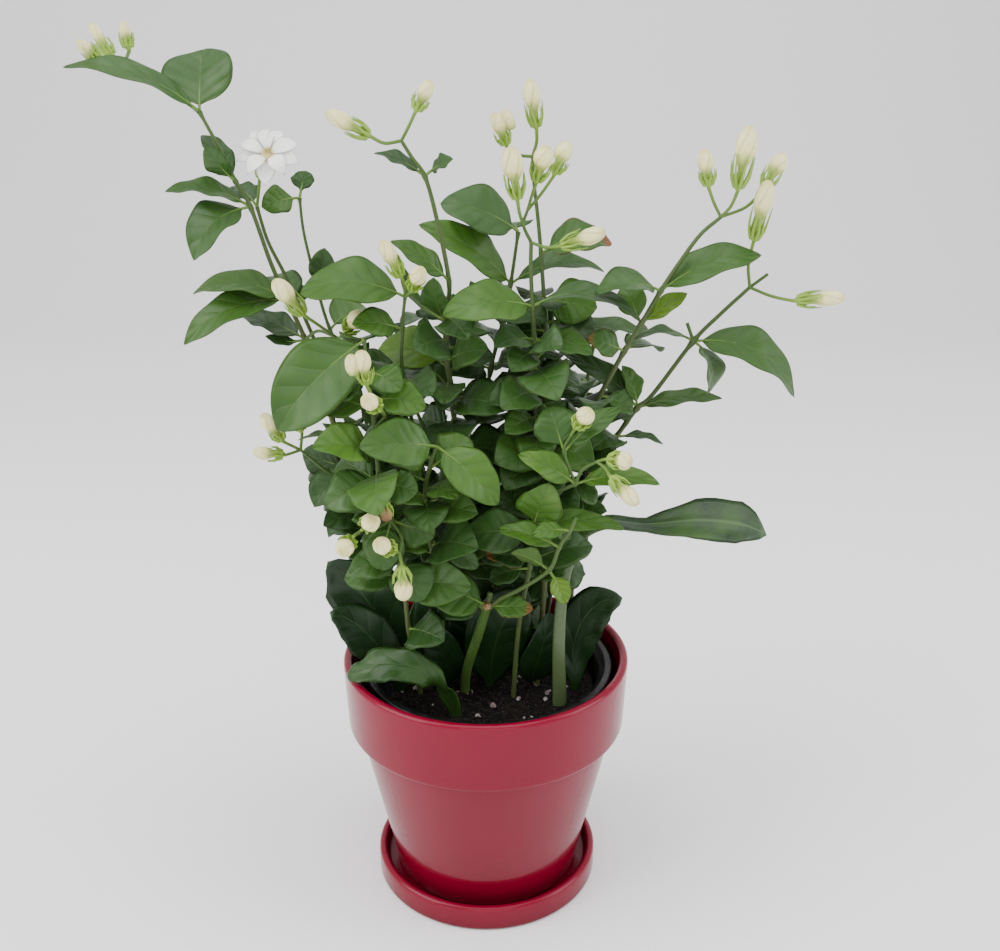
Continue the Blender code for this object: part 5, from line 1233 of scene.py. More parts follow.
def leaf_tone_and_painted_light(blade, number):
    """How bright a leaf is: as named, or by its place, with painted light at the front and high up and
    painted shade inside the bush and low down.
    """
    for tone, numbers in TONES.items():
        if number in numbers:
            return tone
    middle = blade.point(0.6, 0.0)
    # Painted light at the front and high up, painted shade behind and low down.
    front = ramp(12 - middle.y, 0, 70) * max(0.3, ramp(middle.z, 190, 260))
    return DARKEST_TONE + FRONT_PAINTED_LIGHT * front + random.Random(900 + number).uniform(0.0, TONE_SPREAD)


def basal_sheet(basal):
    """One leaf that rises from the soil, from its thick stalk to its tip."""
    steps = 5
    path = smooth_path(basal.route, steps)
    faces = [Vector(f) for f in basal.faces]
    across_blade = places_across(11)
    last = len(path) - 1
    grid, halves, stops = [], [], []
    for i, place in enumerate(path):
        position = i / steps
        along = (path[min(i + 1, last)] - path[max(i - 1, 0)]).normalized()
        up = mix_list(faces, position)
        up = (up - along * up.dot(along)).normalized()
        side = along.cross(up)
        half = mix_list(basal.wide, position) / 2
        swell = ramp(half, 4, 8)
        half *= 1 - (1 - basal.slim) * swell
        cup = BASAL_CUP * half * swell
        row = []
        for v in across_blade:
            ripple = basal.wave * swell * math.sin(1.1 * i + 2.0 * (v > 0))
            row.append(place + side * half * v + up * (cup * abs(v) ** 1.4 + ripple * v * v))
        grid.append(row)
        halves.append(half)
        stops.append(i / last)

    def thick(i, j):
        v = across_blade[j]
        round_stalk = BASAL_STALK_THICKNESS / 2 * math.sqrt(max(0.0, 1 - v * v))
        midrib = 0.8 * max(0.0, 1 - abs(v) * 4)
        part = ramp(halves[i], 4, 10)
        return round_stalk * (1 - part) + (BASAL_SKIN / 2 + midrib) * part

    sheet = Sheet()
    sheet.blade(grid, thick, stops, basal.tone)
    return sheet


# Paths that a geometry tree makes into round stems

Path = namedtuple("Path", "points radii bark fresh")


def geometry_tree(name, inputs, output):
    """A geometry tree with named inputs of these kinds, its input fields and the name of its output."""
    group = bpy.data.node_groups.new(name, "GeometryNodeTree")
    for label, kind in inputs.items():
        group.interface.new_socket(label, in_out="INPUT", socket_type="NodeSocket" + kind)
    group.interface.new_socket(output, in_out="OUTPUT", socket_type="NodeSocketGeometry")
    tree = Tree(group)
    start = group.nodes.new("NodeGroupInput")
    return tree, {label: Field(tree, start.outputs[k]) for k, label in enumerate(inputs)}


def tube_tree():
    """Geometry tree: every path becomes a round tube of its own radius."""
    inputs = {"Paths": "Geometry", "Sides": "Int", "Finish": "Material"}
    tree, given = geometry_tree("round_stems", inputs, "Stems")
    curves = tree.node("GeometryNodeMeshToCurve", {}, {"Mesh": given["Paths"]})
    ring = tree.node("GeometryNodeCurvePrimitiveCircle", {}, {"Resolution": given["Sides"], "Radius": 1.0})
    radius = tree.node("GeometryNodeInputNamedAttribute", {}, {"Name": "radius"})
    sockets = {"Curve": curves, "Profile Curve": ring, "Scale": radius, "Fill Caps": True}
    tubes = tree.node("GeometryNodeCurveToMesh", {}, sockets)
    tubes = tree.node("GeometryNodeSetShadeSmooth", {}, {"Geometry": tubes})
    tubes = tree.node("GeometryNodeRealizeInstances", {}, {"Geometry": tubes})
    tubes = tree.node("GeometryNodeSetMaterial", {}, {"Geometry": tubes, "Material": given["Finish"]})
    tree.node("NodeGroupOutput", {}, {0: tubes})
    return tree.tree


def grown(source, group, values):
    """What a geometry tree makes of an object, as a plain mesh object. The source goes."""
    modifier = source.modifiers.new(group.name, "NODES")
    modifier.node_group = group
    sockets = {item.name: item.identifier for item in group.interface.items_tree if item.in_out == "INPUT"}
    for label, value in values.items():
        modifier[sockets[label]] = value
    shown = source.evaluated_get(bpy.context.evaluated_depsgraph_get())
    mesh = bpy.data.meshes.new_from_object(shown)
    name = source.name
    source.modifiers.remove(modifier)
    old = source.data
    bpy.data.objects.remove(source)
    bpy.data.meshes.remove(old)
    mesh.name = name
    return linked(name, mesh)


def tubes_piece(name, paths, group, finish):
    """All the paths of one shoot as one piece."""
    points, edges, radii, bark, fresh = [], [], [], [], []
    for path in paths:
        start = len(points)
        points += [p * MM for p in path.points]
        radii += [r * MM for r in path.radii]
        bark += path.bark
        fresh += path.fresh
        edges += [(k, k + 1) for k in range(start, len(points) - 1)]
    mesh = bpy.data.meshes.new(name)
    mesh.from_pydata(points, edges, [])
    point_values(mesh, {"radius": radii, "bark": bark, "fresh": fresh})
    return grown(linked(name, mesh), group, {"Sides": STEM_SIDES, "Finish": finish})


def even_path(points, radii, bark, fresh):
    """A path with one age of bark and one freshness all along."""
    return Path(points, radii, [bark] * len(points), [fresh] * len(points))


def stem_path(stem, joints):
    """A stem with a small knuckle at each place where leaves grow, browner towards its foot."""
    points = smooth_path(stem.route, 6)
    last = len(points) - 1
    radii, bark = [], []
    for i, point in enumerate(points):
        radius = stem.foot + (stem.top - stem.foot) * i / last
        for joint in joints:
            radius += KNUCKLE_HEIGHT * math.exp(-((point - joint).length / KNUCKLE_REACH) ** 2)
        radii.append(radius)
        woody = ramp(stem.foot, 1.2, 1.8) * (1 - i / last) ** 0.7
        bark.append(0.2 + 0.5 * woody if stem.foot < THICK_STEM else 0.0)
    return Path(points, radii, bark, [0.0] * len(points))


def rib_path(blade):
    """A leaf's stalk, which runs on under the blade as its midrib."""
    stops = [blade.stalk * k / 3 for k in range(3)]
    stops += [blade.stalk + (0.96 - blade.stalk) * k / 8 for k in range(9)]
    thin, thick = RIB_RADII
    points, radii = [], []
    for u in stops:
        t = max(0.0, (u - blade.stalk) / (1 - blade.stalk))
        sink = RIB_SINK * min(1.0, 6 * t)
        points.append(blade.point(u, 0.0) - blade.normal(u, 0.0) * sink)
        radii.append(STALK_RADIUS if u < blade.stalk else thin + (thick - thin) * (1 - t) ** 1.4)
    return even_path(points, radii, 0.0, 0.25)


def sepal_path(base, axis, out, along, reach, chance):
    """One slender sepal, which leans out from the cup and then follows the bud."""
    drift = out.cross(axis) * chance.uniform(-1.2, 1.2)
    high = along * chance.uniform(1.05, 1.4)
    knots = [base + axis * CUP_HEIGHT * 0.7 + out * 0.8 * CUP_RADIUS,
             base + axis * (CUP_HEIGHT + 0.22 * high) + out * reach * 0.86,
             base + axis * 0.62 * high + out * reach + drift * 0.5,
             base + axis * high + out * reach * chance.uniform(0.9, 1.15) + drift]
    points = smooth_path(knots, 4)
    last = len(points) - 1
    return even_path(points, [1.0 - 0.8 * (i / last) ** 1.1 for i in range(last + 1)], 0.0, 0.9)


def calyx_paths(stalk, to, wide):
    """The flower stalk that widens into its cup, and the slender sepals round the bud's lower half."""
    axis = unit(to)
    base = Vector(stalk[-1])
    length = Vector(to).length
    along, reach = spike_tip(length, wide)
    stem = smooth_path([*stalk, base + axis * 0.3 * CUP_HEIGHT], 5)
    radii = [FLOWER_STALK_RADIUS + 0.35 * (k / len(stem)) ** 3 for k in range(len(stem))]
    for height, radius in CUP_PROFILE:
        stem.append(base + axis * CUP_HEIGHT * height)
        radii.append(radius * CUP_RADIUS)
    fresh = [0.15 + 0.85 * min(1.0, k / (len(stem) - 6)) ** 2 for k in range(len(stem))]
    paths = [Path(stem, radii, [0.1] * len(stem), fresh)]
    side, other = list(frames([Vector(p) for p in stalk] + [base + axis * CUP_HEIGHT]))[-1][1:]
    chance = random.Random(round(1000 * length))
    for k in range(FINE_SEPALS):
        angle = 2 * math.pi * (k + 0.5) / FINE_SEPALS + chance.uniform(-0.15, 0.15)
        out = side * math.cos(angle) + other * math.sin(angle)
        paths.append(sepal_path(base, axis, out, along, reach, chance))
    return paths


# Blooms


def bud_radius(along, length, wide):
    """The radius of a closed bud: a slim tube that swells into an egg with a round tip."""
    neck = max(CUP_HEIGHT + 1.2, BUD_NECK * length)
    fullest = BUD_FULLEST * length
    tube_radius = 1.6 + 0.4 * min(1.0, along / neck)
    if along < neck:
        return tube_radius
    if along < fullest:
        part = (along - neck) / (fullest - neck)
        return tube_radius + (0.5 * wide - tube_radius) * math.sin(math.pi / 2 * part) ** 1.4
    part = (along - fullest) / (length - fullest)
    return 0.5 * wide * math.sqrt(max(0.0, 1 - part ** 2.2))


def furled(sheet, base, axis, length, wide, start, turn):
    """A closed bud of five petals wound over each other."""
    side, other = across(axis)
    count = BUD_PETALS * BUD_PETAL_STEPS
    rows = []
    for i in range(BUD_RINGS):
        height = start + (length - start) * (1 - (1 - i / BUD_RINGS) ** 1.5)
        swirl = turn + BUD_SWIRL * (height / length) ** 2
        radius = bud_radius(height, length, wide)
        fold = BUD_FOLD * ramp(radius, 2.0, 3.5)
        rows.append([])
        for k in range(count):
            step = (k % BUD_PETAL_STEPS) / (BUD_PETAL_STEPS - 1)
            reach = radius * (1 + fold * (step ** 1.5 - 0.6))
            angle = 2 * math.pi * k / count + swirl
            point = base + axis * height + (side * math.cos(angle) + other * math.sin(angle)) * reach
            rows[-1].append(sheet.add(point, (height / length, step)))
    tip = sheet.add(base + axis * length, (1.0, 0.5))
    sheet.face(*rows[0][::-1])
    for low, high in zip(rows, [*rows[1:], [tip] * count]):
        sheet.bridge(low, high)


def bud_piece(bud, finish):
    """A closed bud, with its second lobe where two grew into each other."""
    sheet = Sheet()
    axis = unit(bud.to)
    length = Vector(bud.to).length
    base = Vector(bud.stalk[-1])
    chance = random.Random(round(777 * length))
    furled(sheet, base, axis, length, bud.wide, 0.8 * CUP_HEIGHT, chance.uniform(0, 6))
    if bud.twin:
        lobe = base + Vector(bud.twin)
        furled(sheet, lobe, axis, 0.96 * length, 0.85 * bud.wide, 0.42 * length, chance.uniform(0, 6))
    return sheet.piece(bud.name + "_petals", finish)


def flower_tube(sheet, base, axis, centre, looks):
    """The open flower's tube, which widens to its face, and the throat that leads back into it."""
    end = centre + looks * THROAT_LIFT
    middle = smooth_path([base + axis * 0.8 * CUP_HEIGHT, base.lerp(centre, 0.6), end], 6)
    side, other = across(axis)
    rings = []
    for i, place in enumerate(middle):
        part = i / (len(middle) - 1)
        radius = FLOWER_TUBE_RADIUS + FLOWER_TUBE_FLARE * part ** 5
        rings.append([])
        for k in range(FLOWER_TUBE_SIDES):
            angle = 2 * math.pi * k / FLOWER_TUBE_SIDES
            point = place + (side * math.cos(angle) + other * math.sin(angle)) * radius
            rings[-1].append(sheet.add(point, (0.02 + 0.1 * part, k / FLOWER_TUBE_SIDES)))
    sheet.face(*rings[0][::-1])
    for low, high in zip(rings, rings[1:]):
        sheet.bridge(low, high)
    lip = rings[-1]
    outer = lip
    for sink, shrink in ((-1.0, 0.8), (1.2, 0.6)):
        shift = centre + looks * (THROAT_LIFT - sink)
        throat = [sheet.add(shift + (sheet.points[k] - middle[-1]) * shrink, (0.0, 0.5)) for k in lip]
        sheet.bridge(outer, throat)
        outer = throat
    sheet.face(*outer)


def flower_petal(sheet, centre, looks, out, reach, wide, lift, chance):
    """One petal of the open flower, which cups, waves and falls at its tip."""
    aside = looks.cross(out)
    rise = chance.uniform(0.6, 1.5)
    phase = chance.uniform(0, 6)
    grid, stops = [], []
    for i in range(PETAL_ROWS + 1):
        u = i / PETAL_ROWS
        place = centre + out * (PETAL_START + (reach - PETAL_START) * u)
        half = 0.5 * wide * math.sin(math.pi * (0.1 + 0.9 * u ** 1.15)) ** 0.95
        grid.append([])
        for v in places_across(PETAL_COLUMNS):
            height = lift + PETAL_RISE * math.sin(0.85 * math.pi * u) * rise - PETAL_FALL * u * u
            height += half * (math.sin(PETAL_TILT) * v + PETAL_CURL * v * v * (1 - 0.6 * u))
            height += PETAL_RIPPLE * u * v * v * math.sin(7 * u + phase + (2 if v > 0 else 0))
            grid[-1].append(place + aside * half * v + looks * height)
        stops.append(0.08 + 0.92 * u)
    sheet.blade(grid, lambda i, j: PETAL_SKIN / 2, stops)


def open_flower_piece(finish):
    """The open flower: its tube, the throat and two layers of petals."""
    sheet = Sheet()
    base = Vector(FLOWER_STALK[-1])
    looks = unit(FLOWER_LOOKS)
    centre = base + Vector(FLOWER_TO)
    flower_tube(sheet, base, unit(FLOWER_TO), centre, looks)
    first, second = across(looks)
    chance = random.Random(FLOWER_SEED)
    for size, lift, turn in ((1.0, 0.0, 0.25), (INNER_SHARE, INNER_LIFT, 0.75)):
        for k in range(PETALS_IN_LAYER):
            angle = 2 * math.pi * (k + turn) / PETALS_IN_LAYER + chance.uniform(-0.15, 0.15)
            reach = size * FLOWER_RADIUS * chance.uniform(0.86, 1.0)
            wide = size * PETAL_WIDTH * chance.uniform(0.72, 1.0)
            out = first * math.cos(angle) + second * math.sin(angle)
            flower_petal(sheet, centre, looks, out, reach, wide, lift, chance)
    return sheet.piece("flower_open_petals", finish)


# The pottery, the grow pot and the soil


def arc(centre, radius, start, end, steps):
    """Points on an arc in an outline, from one angle to another in degrees."""
    points = []
    for k in range(steps + 1):
        angle = math.radians(start + (end - start) * k / steps)
        points.append((centre[0] + radius * math.cos(angle), centre[1] + radius * math.sin(angle)))
    return points


def line(start, end, steps):
    """Points between two outline corners, without the last."""
    return [(start[0] + (end[0] - start[0]) * k / steps, start[1] + (end[1] - start[1]) * k / steps)
            for k in range(steps)]


def turned_piece(name, outline, finish, centre_x=0.0, thin=None):
    """A turned solid from (radius, height) points. Between the two heights of thin, its glaze runs from
    darker at the lower one to a painted highlight at the upper one.
    """
    bm = bmesh.new()
    # A share of the height between the two heights of thin: the glaze paints it darker red low down and as a
    # painted highlight high up.
    glaze = bm.verts.layers.float.new("thin")
    corners = []
    for radius, height in outline:
        corners.append(bm.verts.new((radius * MM, 0, height * MM)))
        corners[-1][glaze] = ramp(height, *thin) if thin else 0.5
    pairs = list(zip(corners, corners[1:]))
    if outline[0][0] > 0:
        pairs.append((corners[-1], corners[0]))
    edges = [bm.edges.new(pair) for pair in pairs]
    bmesh.ops.spin(bm, geom=corners + edges, cent=(0, 0, 0), axis=(0, 0, 1), angle=2 * math.pi,
                   steps=TURNED_SIDES[name], use_merge=True)
    bmesh.ops.remove_doubles(bm, verts=bm.verts, dist=1e-6)
    bmesh.ops.recalc_face_normals(bm, faces=bm.faces)
    bmesh.ops.translate(bm, verts=bm.verts, vec=(centre_x * MM, 0, 0))
    mesh = bpy.data.meshes.new(name)
    bm.to_mesh(mesh)
    bm.free()
    mesh.shade_smooth()
    mesh.set_sharp_from_angle(angle=math.radians(50))
    mesh.materials.append(finish)
    return linked(name, mesh)


def saucer_outline():
    """The saucer: a recess under it, its round lip and the cove round its floor."""
    lip = 2.4
    cove = 3.2
    recess = 46
    outline = line((0, 0.6), (recess, 0.6), 4)
    outline += [(recess, 0.6), (recess + 1, 0.0), (SAUCER_RADIUS - 2.2, 0.0)]
    outline += arc((SAUCER_RADIUS - 1.8, 1.8), 1.8, -80, 0, 5)
    outline += line((SAUCER_RADIUS, 3), (SAUCER_RADIUS + 0.1, SAUCER_HEIGHT - lip), 4)
    outline += arc((SAUCER_RADIUS - lip, SAUCER_HEIGHT - lip), lip, 0, 180, 12)
    outline += arc((SAUCER_RADIUS - 2 * lip - 2.6, SAUCER_FLOOR + cove), cove, -20, -90, 6)
    return outline + line((56, SAUCER_FLOOR), (0, SAUCER_FLOOR), 5) + [(0, SAUCER_FLOOR)]


def pot_outline():
    """The pot's wall: tapered body, the step under the band, the tall band and its round lip."""
    foot = SAUCER_FLOOR + GAP
    floor = foot + POT_FLOOR
    lip = POT_WALL / 2
    inner_foot = BODY_FOOT_RADIUS - POT_WALL
    outline = [(DRAIN_RADIUS, foot), (BODY_FOOT_RADIUS - 3, foot)]
    outline += arc((BODY_FOOT_RADIUS - 2.5, foot + 2.5), 2.5, -80, -10, 5)
    outline += line((BODY_FOOT_RADIUS + 0.1, foot + 4), (BODY_TOP_RADIUS, BAND_BOTTOM - 4.5), 10)
    outline += arc((BODY_TOP_RADIUS + 2.6, BAND_BOTTOM - 3.2), 2.2, 180, 100, 5)
    outline += arc((BAND_BOTTOM_RADIUS - 2.2, BAND_BOTTOM + 1.4), 2.2, -80, -5, 6)
    outline += line((BAND_BOTTOM_RADIUS + 0.1, BAND_BOTTOM + 3), (POT_RIM_RADIUS, POT_TOP - lip - 2), 6)
    outline += arc((POT_RIM_RADIUS - lip, POT_TOP - lip), lip, -5, 180, 14)
    outline += line((POT_RIM_RADIUS - 2 * lip - 0.1, POT_TOP - 5),
                    (BAND_BOTTOM_RADIUS - POT_WALL - 0.6, BAND_BOTTOM + 5), 5)
    outline += line((BODY_TOP_RADIUS - POT_WALL - 0.4, BAND_BOTTOM - 5), (inner_foot + 1.5, floor + 3), 8)
    outline += arc((inner_foot - 2.5, floor + 3), 3, -5, -90, 5)
    return outline + line((inner_foot - 4, floor), (DRAIN_RADIUS, floor), 4)[:-1] + [(DRAIN_RADIUS, floor)]


def grow_pot_radius(height):
    """Outer radius of the grow pot's wall at a height."""
    part = (height - GROW_POT_FOOT) / (GROW_POT_TOP - GROW_POT_LIP_HEIGHT - GROW_POT_FOOT)
    return GROW_POT_FOOT_RADIUS + (GROW_POT_NECK_RADIUS - GROW_POT_FOOT_RADIUS) * part


def grow_pot_outline():
    """The grow pot's thin wall, its stacking step and its rolled lip."""
    foot = GROW_POT_FOOT
    wall = GROW_POT_WALL
    under = GROW_POT_TOP - GROW_POT_LIP_HEIGHT
    lip = GROW_POT_LIP_RADIUS
    corner = (grow_pot_radius(foot + wall) - wall, foot + wall)
    outline = [(6, foot), (GROW_POT_FOOT_RADIUS - 1.5, foot), (GROW_POT_FOOT_RADIUS, foot + 1.5)]
    outline += line((GROW_POT_FOOT_RADIUS + 0.2, foot + 3), (GROW_POT_NECK_RADIUS, under + 0.8), 8)
    outline += [(GROW_POT_NECK_RADIUS + 0.6, under + 1.3), (lip - 1.9, under + 1.4), (lip - 1.9, under - 0.4),
                (lip - 0.8, under - 0.4)]
    outline += arc((lip - 1.3, GROW_POT_TOP - 1.3), 1.3, -5, 110, 6)
    outline += arc((lip - 3.3, GROW_POT_TOP - 1.2), 1.2, 80, 175, 4)
    neck = grow_pot_radius(under) - wall
    outline += [(neck + 1.2, under + 2.2), (neck, under + 0.4)]
    outline += line((grow_pot_radius(under - 2) - wall, under - 2), corner, 8)
    return outline + [corner, (6, foot + wall)]


def soil_height(x, y):
    """The bumpy top of the soil, in millimetres."""
    height = SOIL_TOP - 0.4
    for size, layer, bump in SOIL_BUMPS:
        height += bump * noise.noise(Vector((x / size, y / size, layer)))
    return height


def rest_on_soil(vertex):
    """Puts a point at the height that the soil has there."""
    vertex.co.z = soil_height(vertex.co.x / MM, vertex.co.y / MM) * MM


def soil_piece(finish):
    """The bed of soil, which fills the grow pot and is bumpy on top."""
    floor = GROW_POT_FOOT + GROW_POT_WALL + GAP
    edge = grow_pot_radius(SOIL_TOP - 1) - GROW_POT_WALL - GAP
    shoulder = grow_pot_radius(floor) - GROW_POT_WALL - GAP
    outline = [(0, floor), (shoulder, floor), (edge, SOIL_TOP - 1.5)]
    outline += [(edge * (SOIL_RINGS - k) / SOIL_RINGS, SOIL_TOP) for k in range(1, SOIL_RINGS + 1)]
    soil = turned_piece("soil_bed", outline, finish, GROW_POT_X)
    for vertex in soil.data.vertices:
        if vertex.co.z > (SOIL_TOP - 1) * MM:
            rest_on_soil(vertex)
    return soil


def scatter_tree():
    """Geometry tree: lumpy grains of random size, scattered over a surface."""
    inputs = {"Ground": "Geometry", "Density": "Float", "Seed": "Int", "Roundness": "Int",
              "Smallest": "Float", "Largest": "Float", "Lumps": "Float", "Finish": "Material"}
    tree, given = geometry_tree("scattered_grains", inputs, "Grains")

    def chance(low, high, seed, kind="FLOAT_VECTOR", first=0):
        """A random value from low to high. Its number or vector sockets start at the first one named."""
        sockets = {first: low, first + 1: high, "Seed": seed}
        return tree.node("FunctionNodeRandomValue", {"data_type": kind}, sockets, first // 2)

    def vectors(operation, first, sockets):
        return tree.node("ShaderNodeVectorMath", {"operation": operation}, {0: first, **sockets})

    sockets = {"Mesh": given["Ground"], "Density": given["Density"], "Seed": given["Seed"]}
    points = tree.node("GeometryNodeDistributePointsOnFaces", {}, sockets)
    ball = tree.node("GeometryNodeMeshIcoSphere", {}, {"Radius": 1.0, "Subdivisions": given["Roundness"]})
    size = chance(given["Smallest"], given["Largest"], given["Seed"], "FLOAT", 2)
    scale = vectors("SCALE", chance((0.6, 0.6, 0.5), (1.3, 1.3, 0.9), 5), {"Scale": size})
    spin = chance((0.0, 0.0, 0.0), (0.7, 0.7, 6.28), 9)
    sockets = {"Points": points, "Instance": ball, "Rotation": spin, "Scale": scale}
    grains = tree.node("GeometryNodeInstanceOnPoints", {}, sockets)
    grains = tree.node("GeometryNodeRealizeInstances", {}, {"Geometry": grains})
    place = tree.node("GeometryNodeInputPosition")
    wobble = tree.node("ShaderNodeTexNoise", {}, {"Vector": place, "Scale": 420.0, "Detail": 2.0}, 1)
    push = vectors("SUBTRACT", wobble, {1: (0.5, 0.5, 0.5)})
    push = vectors("SCALE", push, {"Scale": given["Lumps"]})
    grains = tree.node("GeometryNodeSetPosition", {}, {"Geometry": grains, "Offset": push})
    grains = tree.node("GeometryNodeSetMaterial", {}, {"Geometry": grains, "Material": given["Finish"]})
    tree.node("NodeGroupOutput", {}, {0: grains})
    return tree.tree


def ground_patch(name):
    """The open top of the soil, on which grains are scattered."""
    reach = grow_pot_radius(SOIL_TOP) - GROW_POT_WALL - GAP - 2.5
    bm = bmesh.new()
    bmesh.ops.create_grid(bm, x_segments=70, y_segments=70, size=reach * MM)
    outside = [v for v in bm.verts if v.co.length > reach * MM]
    bmesh.ops.delete(bm, geom=outside, context="VERTS")
    for vertex in bm.verts:
        vertex.co.x += GROW_POT_X * MM
        rest_on_soil(vertex)
    mesh = bpy.data.meshes.new(name)
    bm.to_mesh(mesh)
    bm.free()
    return linked(name, mesh)


# The plant


def seated(piece, slot, *nodes):
    """Puts a piece on the part: it rides on the root body and stands for these nodes."""
    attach(piece, "root")
    if nodes:
        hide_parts(*nodes)


def filler_blade(root, number, attempt):
    """A small leaf at a place on a stem, as one of the tries for its number draws it."""
    chance = random.Random(5000 + 31 * number + attempt)
    angle = GOLDEN_TURN * number + chance.uniform(-0.8, 0.8)
    length = chance.uniform(*FILLER_LENGTH)
    out = Vector((math.cos(angle), math.sin(angle), chance.uniform(-0.35, 0.35)))
    front = -5 if root.y < BUSH_MIDDLE else 2
    faces = (4 * out.x + chance.uniform(-2, 2), 4 * out.y + front, chance.uniform(4, 8))
    wide = length * chance.uniform(*FILLER_BREADTH)
    return Blade(root, Leaf((0, 0), out.normalized() * length, wide, faces, 0.12), number)


def filler_leaves(shoot, crowd, number):
    """The small leaves between the planned ones, evenly round the main stem and clear of all else."""
    blades = []
    height, high = shoot.filled
    route = [Vector(p) for p in shoot.stems[0].route]
    while height < high:
        before = next(k for k in range(len(route) - 1) if route[k + 1].z >= height)
        part = (height - route[before].z) / (route[before + 1].z - route[before].z)
        root = route[before].lerp(route[before + 1], part)
        for attempt in range(FILLER_TRIES):
            blade = filler_blade(root, number, attempt)
            inside = blade.point(1.0, 0.0).x <= BUSH_RIGHT
            if inside and has_room(blade, crowd, FILLER_CLEARANCE, shoot.name):
                blades.append((number, blade))
                break
        number += 1
        height += FILLER_STEP
    return blades


def inner_leaves(crowd, finish):
    """Broad deep leaves that rise from the soil between the stems, each where there is room for it."""
    sheet = Sheet()
    for place in range(INNER_PLACES):
        for attempt in range(INNER_TRIES):
            chance = random.Random(INNER_SEED + INNER_TRIES * place + attempt)
            angle = GOLDEN_TURN * place + chance.uniform(-0.6, 0.6)
            reach = chance.uniform(*INNER_REACH)
            around = Vector((math.cos(angle), math.sin(angle), 0))
            root = around * reach + Vector((GROW_POT_X, INNER_MIDDLE, SOIL_TOP - 1))
            length = chance.uniform(*INNER_LENGTH)
            out = (around * chance.uniform(0.0, 0.45) + Vector((0, 0, 1))).normalized()
            faces = (chance.uniform(-5, 5), -8, 2)
            wide = length * chance.uniform(*INNER_BREADTH)
            blade = Blade(root, Leaf((0, 0), out * length, wide, faces, 0.08), INNER_SEED + place)
            whole = leaf_solid(blade, FILLER_CLEARANCE)
            if root.y > INNER_FRONT and crowd.clear(whole):
                crowd.add(whole, "inner_leaves")
                leaf_sheet(sheet, blade, chance.uniform(0.1, 0.5))
                break
    seated(sheet.piece("basal_leaves_inner", finish), "basal_green")


def stump_scar(finish):
    """The dried, rough end where the stump was cut."""
    scar = turned_piece("stump_scar", SCAR_OUTLINE, finish)
    top = Vector(SHOOTS[SHOOT_WITH_SCAR].stems[0].route[-1])
    for vertex in scar.data.vertices:
        point = vertex.co / MM
        point *= 1 + SCAR_ROUGHNESS * noise.noise(point * 0.7)
        vertex.co = (point + top) * MM
    seated(scar, "jasmine_green")


def settled_leaves(crowd):
    """The planned leaves of every shoot with their numbers, in the same order as the solids."""
    settled = {}
    number = 1
    for shoot in SHOOTS:
        settled[shoot.name] = []
        for leaf in shoot.leaves:
            blade = settle(leaf_root(shoot, leaf), leaf, number, crowd, shoot.name)
            if blade:
                settled[shoot.name].append((number, blade))
            number += 1
    return settled


def grow_shoot(shoot, blades, round_stems, finishes):
    """One shoot: its stems, leaves, flower stalks and buds."""
    sheet = Sheet()
    joints = [blade.root for _, blade in blades]
    paths = [stem_path(stem, joints) for stem in shoot.stems]
    for number, blade in blades:
        leaf_sheet(sheet, blade, leaf_tone_and_painted_light(blade, number), DRY.get(number, 0.0))
        paths.append(rib_path(blade))
    for bud in shoot.buds:
        paths += calyx_paths(bud.stalk, bud.to, bud.wide)
        slot = "dried_bud" if bud.name == "bud_dried" else "bloom_cream"
        seated(bud_piece(bud, finishes[slot]), slot, bud.name)
    if shoot.name == FLOWER_SHOOT:
        paths += calyx_paths(FLOWER_STALK, FLOWER_TO, 5)
    stems = tubes_piece(shoot.name + "_stems", paths, round_stems, finishes["bark"])
    seated(stems, "jasmine_green", shoot.name)
    seated(sheet.piece(shoot.name + "_leaves", finishes["leaf"]), "jasmine_green", shoot.name)


def grow_plant(finishes):
    """Every shoot, bloom and basal leaf, in the same order as the solids."""
    crowd = Crowd()
    place_stems(crowd)
    round_stems = tube_tree()
    for basal in BASALS:
        crowd.add(basal_solid(basal, CLEARANCE), basal.name)
        finish = finishes["pale_basal" if basal.name == "basal_leaf_right_long" else "basal"]
        seated(basal_sheet(basal).piece(basal.name + "_blade", finish), "basal_green", basal.name)
    settled = settled_leaves(crowd)
    for order, shoot in enumerate(SHOOTS):
        blades = settled[shoot.name] + filler_leaves(shoot, crowd, 1000 + 60 * order)
        grow_shoot(shoot, blades, round_stems, finishes)
    seated(open_flower_piece(finishes["petal"]), "bloom_cream", "flower_open")
    inner_leaves(crowd, finishes["basal"])
    stump_scar(finishes["cut"])


def make_pottery(glaze, plastic):
    """The saucer, the red pot and the grow pot, each turned from its outline."""
    # The glaze runs from darker at the lower height of thin to a painted highlight at the upper one.
    saucer = turned_piece("saucer_glazed", saucer_outline(), glaze, thin=(-4, SAUCER_HEIGHT + 1))
    seated(saucer, "red_glaze", "saucer")
    pot = turned_piece("pot_glazed", pot_outline(), glaze, thin=(-60, POT_TOP + 4))
    seated(pot, "red_glaze", "pot")
    grow_pot = turned_piece("grow_pot_moulded", grow_pot_outline(), plastic, GROW_POT_X)
    seated(grow_pot, "black_plastic", "grow_pot")


def make_soil(earth, grain):
    """The bed of soil, crumbs of it and grains of perlite on top."""
    grains = scatter_tree()
    seated(soil_piece(earth), "potting_soil", "soil")
    for name, values, finish in (("soil_crumbs", SOIL_CRUMBS, earth), ("soil_perlite", SOIL_PERLITE, grain)):
        seated(grown(ground_patch(name), grains, {**values, "Finish": finish}), "potting_soil")


# The studio


